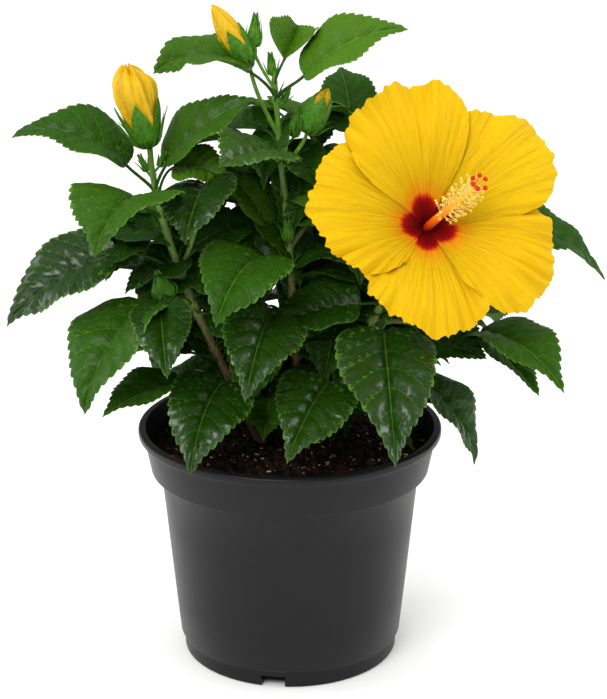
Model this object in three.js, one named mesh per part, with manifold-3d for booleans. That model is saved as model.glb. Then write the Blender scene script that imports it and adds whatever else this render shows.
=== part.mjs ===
// Hibiscus shrub in a round nursery pot: three stems, their boughs and bud stalks, one open
// bloom, four buds and the leaves, each mass of leaves a closed uneven pad on its own stalk.
// Millimetres, +Z up. The origin is the centre of the pot's flat underside, and -Y is the front.

import * as THREE from 'three';
import { mergeVertices } from 'three/addons/utils/BufferGeometryUtils.js';
import Module from 'manifold-3d';

const wasm = await Module();
wasm.setup();

// ---------------------------------------------------------------- driving dimensions

const GAP = 0.3; // clearance between two solids that meet

const POT = {
  height: 130,
  rimRadius: 82.5,
  lipWidth: 4,
  lipHeight: 4.5,
  lipRound: 1.2,
  bandTopRadius: 79.2,
  bandFootRadius: 76,
  bandFoot: 105.5,
  wallTopRadius: 70.6,
  wallFootRadius: 61.3,
  footRadius: 59.1,
  footHeight: 9.5,
  footRound: 1.5,
  wall: 1.5,
  floor: 3,
  sides: 36,
};

const DRAIN = { count: 3, firstHeading: -99, width: 13, height: 6, innerRadius: 50 };

const SOIL = { level: 120, edgeDrop: 2, ripple: 0.8, clearance: 0.6, sides: 24 };

// Stems rise from the soil at `foot`; boughs and stalks leave the limb `from` at the share `at`
// of its run. `tip` is counted from the start, the first handle from the start and the second
// from the tip, and together they make one cubic curve. `radii` is the taper, foot to tip.
const LIMBS = {
  left_stem: { foot: [-16, 0], tip: [-56, -8, 165], handles: [[-18, 0, 41], [2, 1, -56]], radii: [2.9, 1.5] },
  centre_stem: { foot: [5, 0], tip: [-13, 4, 203], handles: [[0, 5, 61], [5, 4, -67]], radii: [2.9, 1.3] },
  right_stem: { foot: [16, 0], tip: [53, -8, 118], handles: [[14, -3, 41], [-20, 2, -33]], radii: [2.9, 1.7] },
  left_twig: { from: 'left_stem', at: 0.61, tip: [12, 0, 44], handles: [[3, 0, 13], [-1, 0, -16]], radii: [1.5, 1] },
  centre_bough: {
    from: 'centre_stem', at: 0.54, tip: [32, 11, 60], handles: [[8, 5, 12], [-4, 0, -26]], radii: [1.9, 1.1],
  },
  right_bough: {
    from: 'right_stem', at: 0.56, tip: [52, 1, -4], handles: [[16, 3, 3], [-18, 4, 1]], radii: [1.9, 1.2],
  },
  back_bough: {
    from: 'right_stem', at: 0.74, tip: [56, 14, 33], handles: [[14, 8, 15], [-18, 2, -10]], radii: [1.7, 1.1],
  },
  top_bud_stalk: {
    from: 'centre_stem', at: 0.83, tip: [-15, -6, 39], handles: [[-5, -1, 10], [2, 2, -15]], radii: [1.3, 1],
  },
  small_bud_stalk: {
    from: 'centre_stem', at: 0.95, tip: [-11, -4, 23], handles: [[-4, -1, 7], [1, 1, -7]], radii: [0.9, 0.8],
  },
  right_bud_stalk: {
    from: 'centre_stem', at: 0.75, tip: [13, -7, 20], handles: [[5, -2, 6], [-2, 1, -7]], radii: [1.2, 1],
  },
};
const LIMB_SIDES = 6;
const LIMB_STEPS = 5;

// Each bud sits on the tip of its stalk: length, widest radius, heading and pitch of its axis.
const BUDS = {
  left_bud: { on: 'left_stem', length: 44, radius: 11.5, heading: 180, pitch: 76 },
  top_bud: { on: 'top_bud_stalk', length: 36, radius: 6.8, heading: 180, pitch: 58 },
  right_bud: { on: 'right_bud_stalk', length: 26, radius: 6, heading: -10, pitch: 66 },
  small_bud: { on: 'small_bud_stalk', length: 18, radius: 3.6, heading: 0, pitch: 86 },
};
const BUD_PROFILE = [[0.04, 0.3], [0.2, 0.72], [0.5, 1], [0.8, 0.8], [0.95, 0.4]];
const BUD_SIDES = 8;

// The bloom faces forward and a little up. Its dish is a trumpet of five overlapping petals.
const BLOOM = {
  heading: -84,
  pitch: 29,
  calyxLength: 17,
  calyxRadius: 7,
  throatRadius: 5,
  radius: 67,
  depth: 26,
  firstPetal: 28,
  lobeDepth: 6,
  ruffle: 2.5,
  thickness: 3,
  sides: 30,
};
const COLUMN = { heading: -57, pitch: 37, length: 50, radius: 2, headRadius: 6.5, headStart: 0.55 };

// Each leaf mass: limb and share of its run, stalk (heading, reach, rise), blade (length, width)
// and pose (heading, pitch at the stalk, droop over its length, roll), in degrees.
const LEAF_MASSES = {
  foliage_left_tip: ['left_stem', 0.86, [180, 15, 15], [64, 44], [178, 48, 72, 14]],
  foliage_left_inner_tip: ['left_stem', 0.87, [0, 8, 14], [60, 35], [2, 60, 50, -24]],
  foliage_left_inner_back: ['left_stem', 0.84, [20, 9, 17], [32, 30], [-15, 14, 50, -30]],
  foliage_left_shoulder: ['left_stem', 0.78, [-128, 16, 9.5], [67, 56], [-108, 33, 88, 8]],
  foliage_left_far: ['left_stem', 0.6, [-170, 34, 17], [72, 42], [-176, -13, 40, 38]],
  foliage_left_hanging: ['left_stem', 0.48, [-156, 30, 10], [74, 56], [-127, -8, 67, -5]],
  foliage_left_front: ['left_stem', 0.51, [-124, 29, 10], [56, 31], [-84, -14, 28, -5]],
  foliage_left_low: ['left_stem', 0.24, [-150, 28, 5], [58, 33], [-136, 13, 35, 12]],
  foliage_left_rim: ['left_stem', 0.22, [-105, 23, 11], [66, 42], [-106, 2, 65, 12]],
  foliage_left_twig: ['left_twig', 1, [-60, 3, 6], [53, 40], [-100, -4, 36, -10]],
  foliage_left_behind: ['left_stem', 0.62, [60, 8, 6], [40, 36], [-160, -10, 30, 10]],
  foliage_top_left: ['centre_stem', 0.93, [-155, 14.5, 15], [55, 46], [168, 30, 62, 8]],
  foliage_top_right: ['centre_stem', 0.925, [-25, 16, 14], [61, 37], [-8, 49, 47, -32]],
  foliage_top_back: ['centre_stem', 0.97, [5, 5, 12], [35, 32], [76, 22, 0, -18]],
  foliage_centre_shoulder: ['centre_stem', 0.77, [-92, 13, 3], [55, 42], [-125, 29, 44, 18]],
  foliage_centre_back_left: ['centre_stem', 0.8, [128, 12, 8], [53, 34], [135, 12, 45, 10]],
  foliage_centre_upright: ['centre_stem', 0.54, [175, 12, 12], [46, 34], [150, 60, 30, 0]],
  foliage_centre_heart: ['centre_stem', 0.49, [-119, 31, 13], [69, 46], [-111, 9, 50, 14]],
  foliage_centre_glossy: ['centre_stem', 0.34, [-117, 26, 13], [76, 43], [-100, 5, 50, 20]],
  foliage_centre_shaded: ['right_stem', 0.64, [-141, 13, 4], [48, 46], [177, -3, 25, 26]],
  foliage_centre_rim: ['centre_stem', 0.25, [-57, 31, -6], [68, 41], [-110, -3, 33, 22]],
  foliage_centre_low: ['centre_stem', 0.12, [-157, 17, 4], [38, 26], [-94, -4, 23, 0]],
  foliage_right_front: ['right_stem', 0.48, [-65, 24, 11], [92, 50], [-88, -6, 49, 6]],
  foliage_right_rim: ['right_stem', 0.37, [-15, 38, -5], [58, 43], [-18, -22, 62, 0]],
  foliage_right_far: ['right_bough', 1, [-58, 9, 0], [82, 40], [-57, 17, 56, -10]],
  foliage_right_far_low: ['right_bough', 0.97, [-30, 4, -2], [56, 32], [-54, -5, 27, 12]],
  foliage_right_behind_bloom: ['back_bough', 1, [-15, 12, -3], [58, 40], [2, -14, 36, -14]],
  foliage_right_under_bloom: ['right_bough', 0.4, [-25, 11, -9], [46, 40], [-50, 3, 12, -20]],
  foliage_upper_right: ['centre_bough', 1, [0, 3, 1], [60, 32], [93, 46, 40, 6]],
  foliage_back_left_high: ['left_stem', 0.74, [95, 16, 4], [64, 56], [84, 4, 48, 0]],
  foliage_back_left_mid: ['left_stem', 0.54, [80, 20, 10], [72, 62], [82, 5, 50, 0]],
  foliage_back_left_low: ['left_stem', 0.36, [140, 24, 8], [68, 60], [138, 0, 45, 0]],
  foliage_back_top: ['centre_stem', 0.86, [60, 12, 4], [58, 50], [70, 6, 50, 0]],
  foliage_back_high: ['centre_stem', 0.68, [100, 16, 8], [68, 60], [100, 12, 50, 0]],
  foliage_back_mid: ['centre_stem', 0.42, [110, 24, 10], [74, 64], [105, 5, 50, 0]],
  foliage_back_low: ['centre_stem', 0.18, [100, 24, 12], [68, 60], [95, 5, 45, 0]],
  foliage_back_right_high: ['back_bough', 0.5, [100, 12, 6], [66, 58], [80, 15, 50, 0]],
  foliage_back_right_mid: ['right_stem', 0.58, [100, 24, 6], [70, 60], [75, 0, 50, 0]],
  foliage_back_right_low: ['right_stem', 0.36, [45, 26, 8], [68, 54], [40, 5, 50, 0]],
};
const BLADE = { thickness: 4.5, unevenness: 0.22, steps: 5, across: 4, fold: 0.42, crown: 0.17 };
const STALK = { radius: 1.3, sides: 4, intoBlade: 7 };

const COLOURS = {
  pot: 0x2f3030,
  soil: 0x2a1c14,
  limb: 0x6b5a3c,
  stalk: 0x5f8a35,
  leaf: 0x2c6420,
  petal: 0xf7c70f,
  bud: 0xe8b81e,
  column: 0xf2912a,
};

// ---------------------------------------------------------------- solids and directions

const vec = (x, y, z) => new THREE.Vector3(x, y, z);

// Unit vector at a heading (0 is +X, 90 is +Y) and a pitch above the level, in degrees.
function direction(heading, pitch) {
  const turn = THREE.MathUtils.degToRad(heading);
  const lift = THREE.MathUtils.degToRad(pitch);
  return vec(Math.cos(turn) * Math.cos(lift), Math.sin(turn) * Math.cos(lift), Math.sin(lift));
}

// Two unit vectors that complete an axis to a right-handed frame.
function crossFrame(axis) {
  const across = vec(0, 0, 1).cross(axis);
  if (across.lengthSq() < 0.01) across.set(1, 0, 0);
  across.normalize();
  return [across, axis.clone().cross(across)];
}

function toSolid(geometry) {
  geometry.deleteAttribute('normal');
  geometry.deleteAttribute('uv');
  const merged = mergeVertices(geometry, 1e-5);
  const corners = merged.index.array;
  const kept = [];
  for (let i = 0; i < corners.length; i += 3) {
    const [a, b, c] = [corners[i], corners[i + 1], corners[i + 2]];
    if (a !== b && b !== c && c !== a) kept.push(a, b, c);
  }
  const vertProperties = new Float32Array(merged.attributes.position.array);
  return new wasm.Manifold(new wasm.Mesh({ numProp: 3, vertProperties, triVerts: new Uint32Array(kept) }));
}

function toGeometry(solid) {
  const { vertProperties, triVerts } = solid.getMesh();
  const geometry = new THREE.BufferGeometry();
  geometry.setAttribute('position', new THREE.BufferAttribute(vertProperties, 3));
  geometry.setIndex(new THREE.BufferAttribute(triVerts, 1));
  geometry.computeVertexNormals();
  return geometry;
}

// A closed skin over rings of equal count, drawn to a point at each end.
function loft(start, rings, end) {
  const sides = rings[0].length;
  const points = [start, ...rings.flat(), end];
  const last = points.length - 1;
  const index = [];
  for (let j = 0; j < sides; j++) {
    const k = (j + 1) % sides;
    index.push(0, 1 + k, 1 + j);
    for (let i = 0; i < rings.length - 1; i++) {
      const a = 1 + i * sides;
      const b = a + sides;
      index.push(a + j, a + k, b + k, a + j, b + k, b + j);
    }
    const top = 1 + (rings.length - 1) * sides;
    index.push(last, top + j, top + k);
  }
  let volume = 0;
  for (let i = 0; i < index.length; i += 3) {
    const [a, b, c] = [points[index[i]], points[index[i + 1]], points[index[i + 2]]];
    volume += a.dot(b.clone().cross(c));
  }
  if (volume < 0) index.reverse();
  const geometry = new THREE.BufferGeometry();
  geometry.setAttribute('position', new THREE.Float32BufferAttribute(points.flatMap((p) => p.toArray()), 3));
  geometry.setIndex(index);
  return toSolid(geometry);
}

// A round tapering tube along a curve. radiusAt gives the radius at a share of the run.
function tube(curve, radiusAt, sides, steps) {
  const rings = [];
  for (let i = 0; i <= steps; i++) {
    const centre = curve.getPoint(i / steps);
    const [across, up] = crossFrame(curve.getTangent(i / steps));
    const ring = [];
    for (let j = 0; j < sides; j++) {
      const turn = (j / sides) * 2 * Math.PI;
      const spoke = across.clone().multiplyScalar(Math.cos(turn)).addScaledVector(up, Math.sin(turn));
      ring.push(centre.clone().addScaledVector(spoke, radiusAt(i / steps)));
    }
    rings.push(ring);
  }
  return loft(curve.getPoint(0), rings, curve.getPoint(1));
}

// ---------------------------------------------------------------- pot and soil

function potInnerProfile(grow) {
  const inset = POT.wall + grow;
  return [
    [POT.rimRadius - POT.lipWidth - grow, POT.height + grow],
    [POT.bandTopRadius - inset, POT.height - POT.lipHeight],
    [POT.bandFootRadius - inset, POT.bandFoot + POT.wall],
    [POT.wallTopRadius - inset, POT.bandFoot - POT.wall],
    [POT.wallFootRadius - inset, POT.footHeight + POT.wall],
    [POT.footRadius - inset, POT.footHeight],
    [POT.footRadius - inset, POT.floor + grow],
  ];
}

function makePot(grow) {
  const outer = [
    [0, -grow],
    [POT.footRadius - POT.footRound, -grow],
    [POT.footRadius + grow, POT.footRound],
    [POT.footRadius + grow, POT.footHeight - POT.wall],
    [POT.wallFootRadius + grow, POT.footHeight + POT.wall],
    [POT.wallTopRadius + grow, POT.bandFoot - grow],
    [POT.bandFootRadius + grow, POT.bandFoot - grow],
    [POT.bandTopRadius + grow, POT.height - POT.lipHeight - POT.lipRound - grow],
    [POT.rimRadius - POT.lipRound + grow, POT.height - POT.lipHeight - grow],
    [POT.rimRadius + grow, POT.height - POT.lipHeight + POT.lipRound],
    [POT.rimRadius + grow, POT.height - POT.lipRound],
    [POT.rimRadius - POT.lipRound, POT.height + grow],
  ];
  const profile = [...outer, ...potInnerProfile(grow), [0, POT.floor + grow]];
  const geometry = new THREE.LatheGeometry(profile.map(([r, z]) => new THREE.Vector2(r, z)), POT.sides);
  let pot = toSolid(geometry.rotateX(Math.PI / 2));
  const reach = POT.wallFootRadius + POT.wall - DRAIN.innerRadius;
  for (let i = 0; i < DRAIN.count; i++) {
    const slot = new THREE.BoxGeometry(reach, DRAIN.width - 2 * grow, 2 * DRAIN.height);
    slot.translate(DRAIN.innerRadius + reach / 2, 0, 0);
    slot.rotateZ(THREE.MathUtils.degToRad(DRAIN.firstHeading + (i * 360) / DRAIN.count));
    pot = pot.subtract(toSolid(slot));
  }
  return pot;
}

// The soil fills the pot to below the rim, with an uneven top that sinks towards the wall.
function makeSoil(grow) {
  const wall = potInnerProfile(SOIL.clearance).filter(([, z]) => z < SOIL.level - SOIL.edgeDrop).reverse();
  const topRadius = POT.bandFootRadius - POT.wall - SOIL.clearance;
  const ring = (radius, height) => {
    const points = [];
    for (let j = 0; j < SOIL.sides; j++) {
      const turn = (j / SOIL.sides) * 2 * Math.PI;
      points.push(vec(radius * Math.cos(turn), radius * Math.sin(turn), height(turn)));
    }
    return points;
  };
  const surface = (share) => (turn) => {
    const wave = Math.sin(5 * turn + 7 * share) * Math.cos(3 * turn - 11 * share);
    return SOIL.level + grow - SOIL.edgeDrop * share ** 3 + SOIL.ripple * share * wave;
  };
  const rings = wall.map(([radius, z]) => ring(radius, () => z));
  for (const share of [1, 0.7, 0.4]) rings.push(ring(share * topRadius, surface(share)));
  return loft(vec(0, 0, wall[0][1]), rings, vec(0, 0, SOIL.level + grow));
}

// ---------------------------------------------------------------- stems, boughs and stalks

const limbCurves = {};
for (const [name, limb] of Object.entries(LIMBS)) {
  const start = limb.from ? limbCurves[limb.from].getPoint(limb.at) : vec(...limb.foot, SOIL.level - 1);
  const tip = start.clone().add(vec(...limb.tip));
  const [first, second] = limb.handles;
  limbCurves[name] = new THREE.CubicBezierCurve3(
    start, start.clone().add(vec(...first)), tip.clone().add(vec(...second)), tip,
  );
}

function makeLimb(name, grow) {
  const [foot, tip] = LIMBS[name].radii;
  const radiusAt = (share) => foot + (tip - foot) * share + grow;
  return tube(limbCurves[name], radiusAt, LIMB_SIDES, LIMB_STEPS);
}

// ---------------------------------------------------------------- buds and bloom

function makeBud(bud, grow) {
  const axis = direction(bud.heading, bud.pitch);
  const base = limbCurves[bud.on].getPoint(1).addScaledVector(axis, GAP - grow);
  const [across, up] = crossFrame(axis);
  const length = bud.length + 2 * grow;
  const rings = BUD_PROFILE.map(([share, width]) => {
    const ring = [];
    for (let j = 0; j < BUD_SIDES; j++) {
      const turn = (j / BUD_SIDES) * 2 * Math.PI;
      const radius = width * bud.radius + grow;
      ring.push(base.clone().addScaledVector(axis, share * length)
        .addScaledVector(across, radius * Math.cos(turn)).addScaledVector(up, radius * Math.sin(turn)));
    }
    return ring;
  });
  return loft(base, rings, base.clone().addScaledVector(axis, length));
}

const bloomAxis = direction(BLOOM.heading, BLOOM.pitch);
const calyxBase = limbCurves.right_stem.getPoint(1).addScaledVector(bloomAxis, GAP);
const throat = calyxBase.clone().addScaledVector(bloomAxis, BLOOM.calyxLength + GAP);

function makeCalyx(grow) {
  const end = calyxBase.clone().addScaledVector(bloomAxis, BLOOM.calyxLength + grow);
  const start = calyxBase.clone().addScaledVector(bloomAxis, -grow);
  const swell = (share) => grow + BLOOM.calyxRadius * Math.sin(Math.PI * (0.15 + 0.6 * share));
  return tube(new THREE.LineCurve3(start, end), swell, BUD_SIDES, 3);
}

// The dish is a skin drawn from the throat out along its back, over the rim and in again.
function makeBloom(grow) {
  const [across, up] = crossFrame(bloomAxis);
  const skin = BLOOM.thickness + 2 * grow;
  const ringAt = (share, front) => {
    const ring = [];
    for (let j = 0; j < BLOOM.sides; j++) {
      const turn = (j / BLOOM.sides) * 2 * Math.PI;
      const petal = 5 * (turn - THREE.MathUtils.degToRad(BLOOM.firstPetal));
      const lobe = BLOOM.lobeDepth * (1 - Math.cos(petal)) * 0.5 * share;
      const radius = BLOOM.throatRadius + (BLOOM.radius + grow - BLOOM.throatRadius - lobe) * share;
      const rise = BLOOM.depth * (1 - (1 - share) ** 2.4) + BLOOM.ruffle * share ** 2 * Math.sin(2 * petal);
      ring.push(throat.clone().addScaledVector(bloomAxis, rise - grow + (front ? skin : 0))
        .addScaledVector(across, radius * Math.cos(turn)).addScaledVector(up, radius * Math.sin(turn)));
    }
    return ring;
  };
  const shares = [0.04, 0.35, 0.7, 1];
  const back = shares.map((share) => ringAt(share, false));
  const front = shares.map((share) => ringAt(share, true)).reverse();
  const start = throat.clone().addScaledVector(bloomAxis, -grow);
  return loft(start, [...back, ...front], start.clone().addScaledVector(bloomAxis, skin));
}

// The column of stamens leaves the throat and bends up and to the right.
function makeColumn(grow) {
  const start = throat.clone().addScaledVector(bloomAxis, BLOOM.thickness);
  const tip = start.clone().addScaledVector(direction(COLUMN.heading, COLUMN.pitch), COLUMN.length);
  const middle = start.clone().addScaledVector(bloomAxis, COLUMN.length / 3);
  const headed = (share) => {
    const head = Math.max(0, (share - COLUMN.headStart) / (1 - COLUMN.headStart));
    return grow + COLUMN.radius + (COLUMN.headRadius - COLUMN.radius) * Math.sin(Math.PI * 0.8 * head);
  };
  return tube(new THREE.QuadraticBezierCurve3(start, middle, tip), headed, 6, 7);
}

// ---------------------------------------------------------------- leaves

const halfWidth = (share, width) => 0.5 * width * Math.sin(Math.PI * share ** 0.58) ** 0.78;

// A leaf blade: its midrib droops along its length, and its halves fold up and crown over.
function makeLeafMass([limb, at, [stalkHeading, reach, rise], [length, width], pose], grow) {
  const [heading, pitch, droop, roll] = pose;
  const node = limbCurves[limb].getPoint(at);
  const base = node.clone().addScaledVector(direction(stalkHeading, 0), reach).add(vec(0, 0, rise));
  const tilt = THREE.MathUtils.degToRad(roll);
  const frameAt = (share) => {
    const along = direction(heading, pitch - droop * share);
    const flat = direction(heading, pitch - droop * share + 90);
    const level = along.clone().cross(flat);
    const side = level.clone().multiplyScalar(Math.cos(tilt)).addScaledVector(flat, Math.sin(tilt));
    const normal = flat.clone().multiplyScalar(Math.cos(tilt)).addScaledVector(level, -Math.sin(tilt));
    return { along, side, normal };
  };
  const step = 1 / (BLADE.steps + 1);
  const middles = [base];
  for (let i = 0; i <= BLADE.steps; i++) {
    const { along } = frameAt((i + 0.5) * step);
    middles.push(middles[i].clone().addScaledVector(along, length * step));
  }
  const rings = [];
  for (let i = 1; i <= BLADE.steps; i++) {
    const { side, normal } = frameAt(i * step);
    const half = halfWidth(i * step, width) + grow;
    const swell = 1 + BLADE.unevenness * Math.sin(2.3 * i + length);
    const pointAt = (v, face) => {
      const bend = half * (BLADE.fold * Math.abs(v) - BLADE.crown * v * v);
      const body = face * (BLADE.thickness * swell * 0.5 * Math.sqrt(1 - v * v) + grow);
      return middles[i].clone().addScaledVector(side, half * v).addScaledVector(normal, bend + body);
    };
    const ring = [];
    for (let j = 0; j <= BLADE.across; j++) ring.push(pointAt((2 * j) / BLADE.across - 1, j % BLADE.across ? 1 : 0));
    for (let j = BLADE.across - 1; j > 0; j--) ring.push(pointAt((2 * j) / BLADE.across - 1, -1));
    rings.push(ring);
  }
  const blade = loft(base, rings, middles[BLADE.steps + 1]);
  const seat = base.clone().addScaledVector(frameAt(0).along, STALK.intoBlade);
  const stalk = tube(new THREE.LineCurve3(node, seat), () => STALK.radius + grow, STALK.sides, 1);
  return blade.add(stalk);
}

// ---------------------------------------------------------------- assembly

const pieces = [
  { name: 'pot', colour: COLOURS.pot, make: makePot, roughness: 0.5 },
  { name: 'soil', colour: COLOURS.soil, make: makeSoil, roughness: 0.95 },
];
for (const name of Object.keys(LIMBS)) {
  const colour = name.endsWith('stalk') ? COLOURS.stalk : COLOURS.limb;
  pieces.push({ name, colour, make: (grow) => makeLimb(name, grow), roughness: 0.8 });
}
for (const [name, bud] of Object.entries(BUDS)) {
  pieces.push({ name, colour: COLOURS.bud, make: (grow) => makeBud(bud, grow), roughness: 0.6 });
}
pieces.push({ name: 'bloom_calyx', colour: COLOURS.stalk, make: makeCalyx, roughness: 0.6 });
pieces.push({ name: 'bloom', colour: COLOURS.petal, make: makeBloom, roughness: 0.5 });
pieces.push({ name: 'bloom_column', colour: COLOURS.column, make: makeColumn, roughness: 0.6 });
for (const [name, mass] of Object.entries(LEAF_MASSES)) {
  pieces.push({ name, colour: COLOURS.leaf, make: (grow) => makeLeafMass(mass, grow), roughness: 0.45 });
}

function apart(a, b) {
  return [0, 1, 2].some((i) => a.min[i] > b.max[i] || b.min[i] > a.max[i]);
}

// Each piece is cut clear of the ones before it, and only its main body is kept.
const group = new THREE.Group();
const placed = [];
for (const { name, colour, make, roughness } of pieces) {
  let solid = make(0);
  for (const other of placed) {
    if (!apart(solid.boundingBox(), other.box)) solid = solid.subtract(other.grown);
  }
  solid = solid.decompose().sort((a, b) => b.volume() - a.volume())[0];
  const grown = make(GAP);
  placed.push({ grown, box: grown.boundingBox() });
  const material = new THREE.MeshStandardMaterial({ color: colour, roughness, metalness: 0 });
  const mesh = new THREE.Mesh(toGeometry(solid), material);
  mesh.name = name;
  group.add(mesh);
}

export default group;
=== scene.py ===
"""Potted hibiscus shrub: bark, leaves, bloom, buds, nursery pot and potting mix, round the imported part."""

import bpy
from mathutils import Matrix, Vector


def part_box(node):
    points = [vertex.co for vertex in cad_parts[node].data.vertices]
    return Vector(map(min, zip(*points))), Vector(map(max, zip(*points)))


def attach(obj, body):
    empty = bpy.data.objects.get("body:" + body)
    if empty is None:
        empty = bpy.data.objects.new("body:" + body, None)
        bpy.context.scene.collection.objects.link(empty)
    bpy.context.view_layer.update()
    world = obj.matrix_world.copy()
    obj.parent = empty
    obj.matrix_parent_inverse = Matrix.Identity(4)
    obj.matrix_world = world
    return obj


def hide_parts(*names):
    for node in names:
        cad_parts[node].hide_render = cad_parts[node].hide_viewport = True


bl_info = {
    "name": "Potted Hibiscus Shrub",
    "version": (1, 0, 0),
    "blender": (4, 5, 0),
    "location": "View3D > Sidebar > Hibiscus",
    "description": "Models a young hibiscus shrub in its nursery pot, leaf by leaf",
    "category": "Add Mesh",
}

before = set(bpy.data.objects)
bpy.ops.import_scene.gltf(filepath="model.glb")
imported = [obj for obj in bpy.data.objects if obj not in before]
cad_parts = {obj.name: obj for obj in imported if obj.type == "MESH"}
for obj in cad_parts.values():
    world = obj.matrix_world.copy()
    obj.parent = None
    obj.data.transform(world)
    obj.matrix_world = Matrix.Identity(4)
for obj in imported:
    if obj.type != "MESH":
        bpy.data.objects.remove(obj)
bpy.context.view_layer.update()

import math
from functools import partial

import bmesh
import bpy
import numpy as np
from bpy.props import FloatProperty, FloatVectorProperty, IntProperty, PointerProperty
from mathutils import Matrix, Vector, noise

MM = 0.001
GOLDEN = math.radians(137.5)  # the turn from one leaf or stamen to the next
# What each kind of random draw starts from.
SEEDS = dict(leaves=7, inner=8, spiral=9, curtain=10, spiral_stipules=11, mix=11, stamens=23, bracts=31,
             buds=41)

# ---------------------------------------------------------------- the plant's limbs, in millimetres

SOIL_LEVEL = 120.0

# A stem rises from the soil at `foot`; a bough or stalk leaves the limb `source` at the share
# `at` of its run. `tip` is counted from the start, and the handles from the start and the tip.
LIMBS = {
    "left_stem": dict(foot=(-16, 0), tip=(-56, -8, 165), handles=((-18, 0, 41), (2, 1, -56)),
                      radii=(2.9, 1.5)),
    "centre_stem": dict(foot=(5, 0), tip=(-13, 4, 203), handles=((0, 5, 61), (5, 4, -67)), radii=(2.9, 1.3)),
    "right_stem": dict(foot=(16, 0), tip=(53, -8, 118), handles=((14, -3, 41), (-20, 2, -33)),
                       radii=(2.9, 1.7)),
    "left_twig": dict(source="left_stem", at=0.61, tip=(12, 0, 44), handles=((3, 0, 13), (-1, 0, -16)),
                      radii=(1.5, 1)),
    "centre_bough": dict(source="centre_stem", at=0.54, tip=(32, 11, 60), handles=((8, 5, 12), (-4, 0, -26)),
                         radii=(1.9, 1.1)),
    "right_bough": dict(source="right_stem", at=0.56, tip=(52, 1, -4), handles=((16, 3, 3), (-18, 4, 1)),
                        radii=(1.9, 1.2)),
    "back_bough": dict(source="right_stem", at=0.74, tip=(56, 14, 33), handles=((14, 8, 15), (-18, 2, -10)),
                       radii=(1.7, 1.1)),
    "top_bud_stalk": dict(source="centre_stem", at=0.83, tip=(-15, -6, 39),
                          handles=((-5, -1, 10), (2, 2, -15)),
                          radii=(1.3, 1)),
    "small_bud_stalk": dict(source="centre_stem", at=0.95, tip=(-11, -4, 23),
                            handles=((-4, -1, 7), (1, 1, -7)),
                            radii=(0.9, 0.8)),
    "right_bud_stalk": dict(source="centre_stem", at=0.75, tip=(13, -7, 20),
                            handles=((5, -2, 6), (-2, 1, -7)),
                            radii=(1.2, 1)),
}

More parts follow.
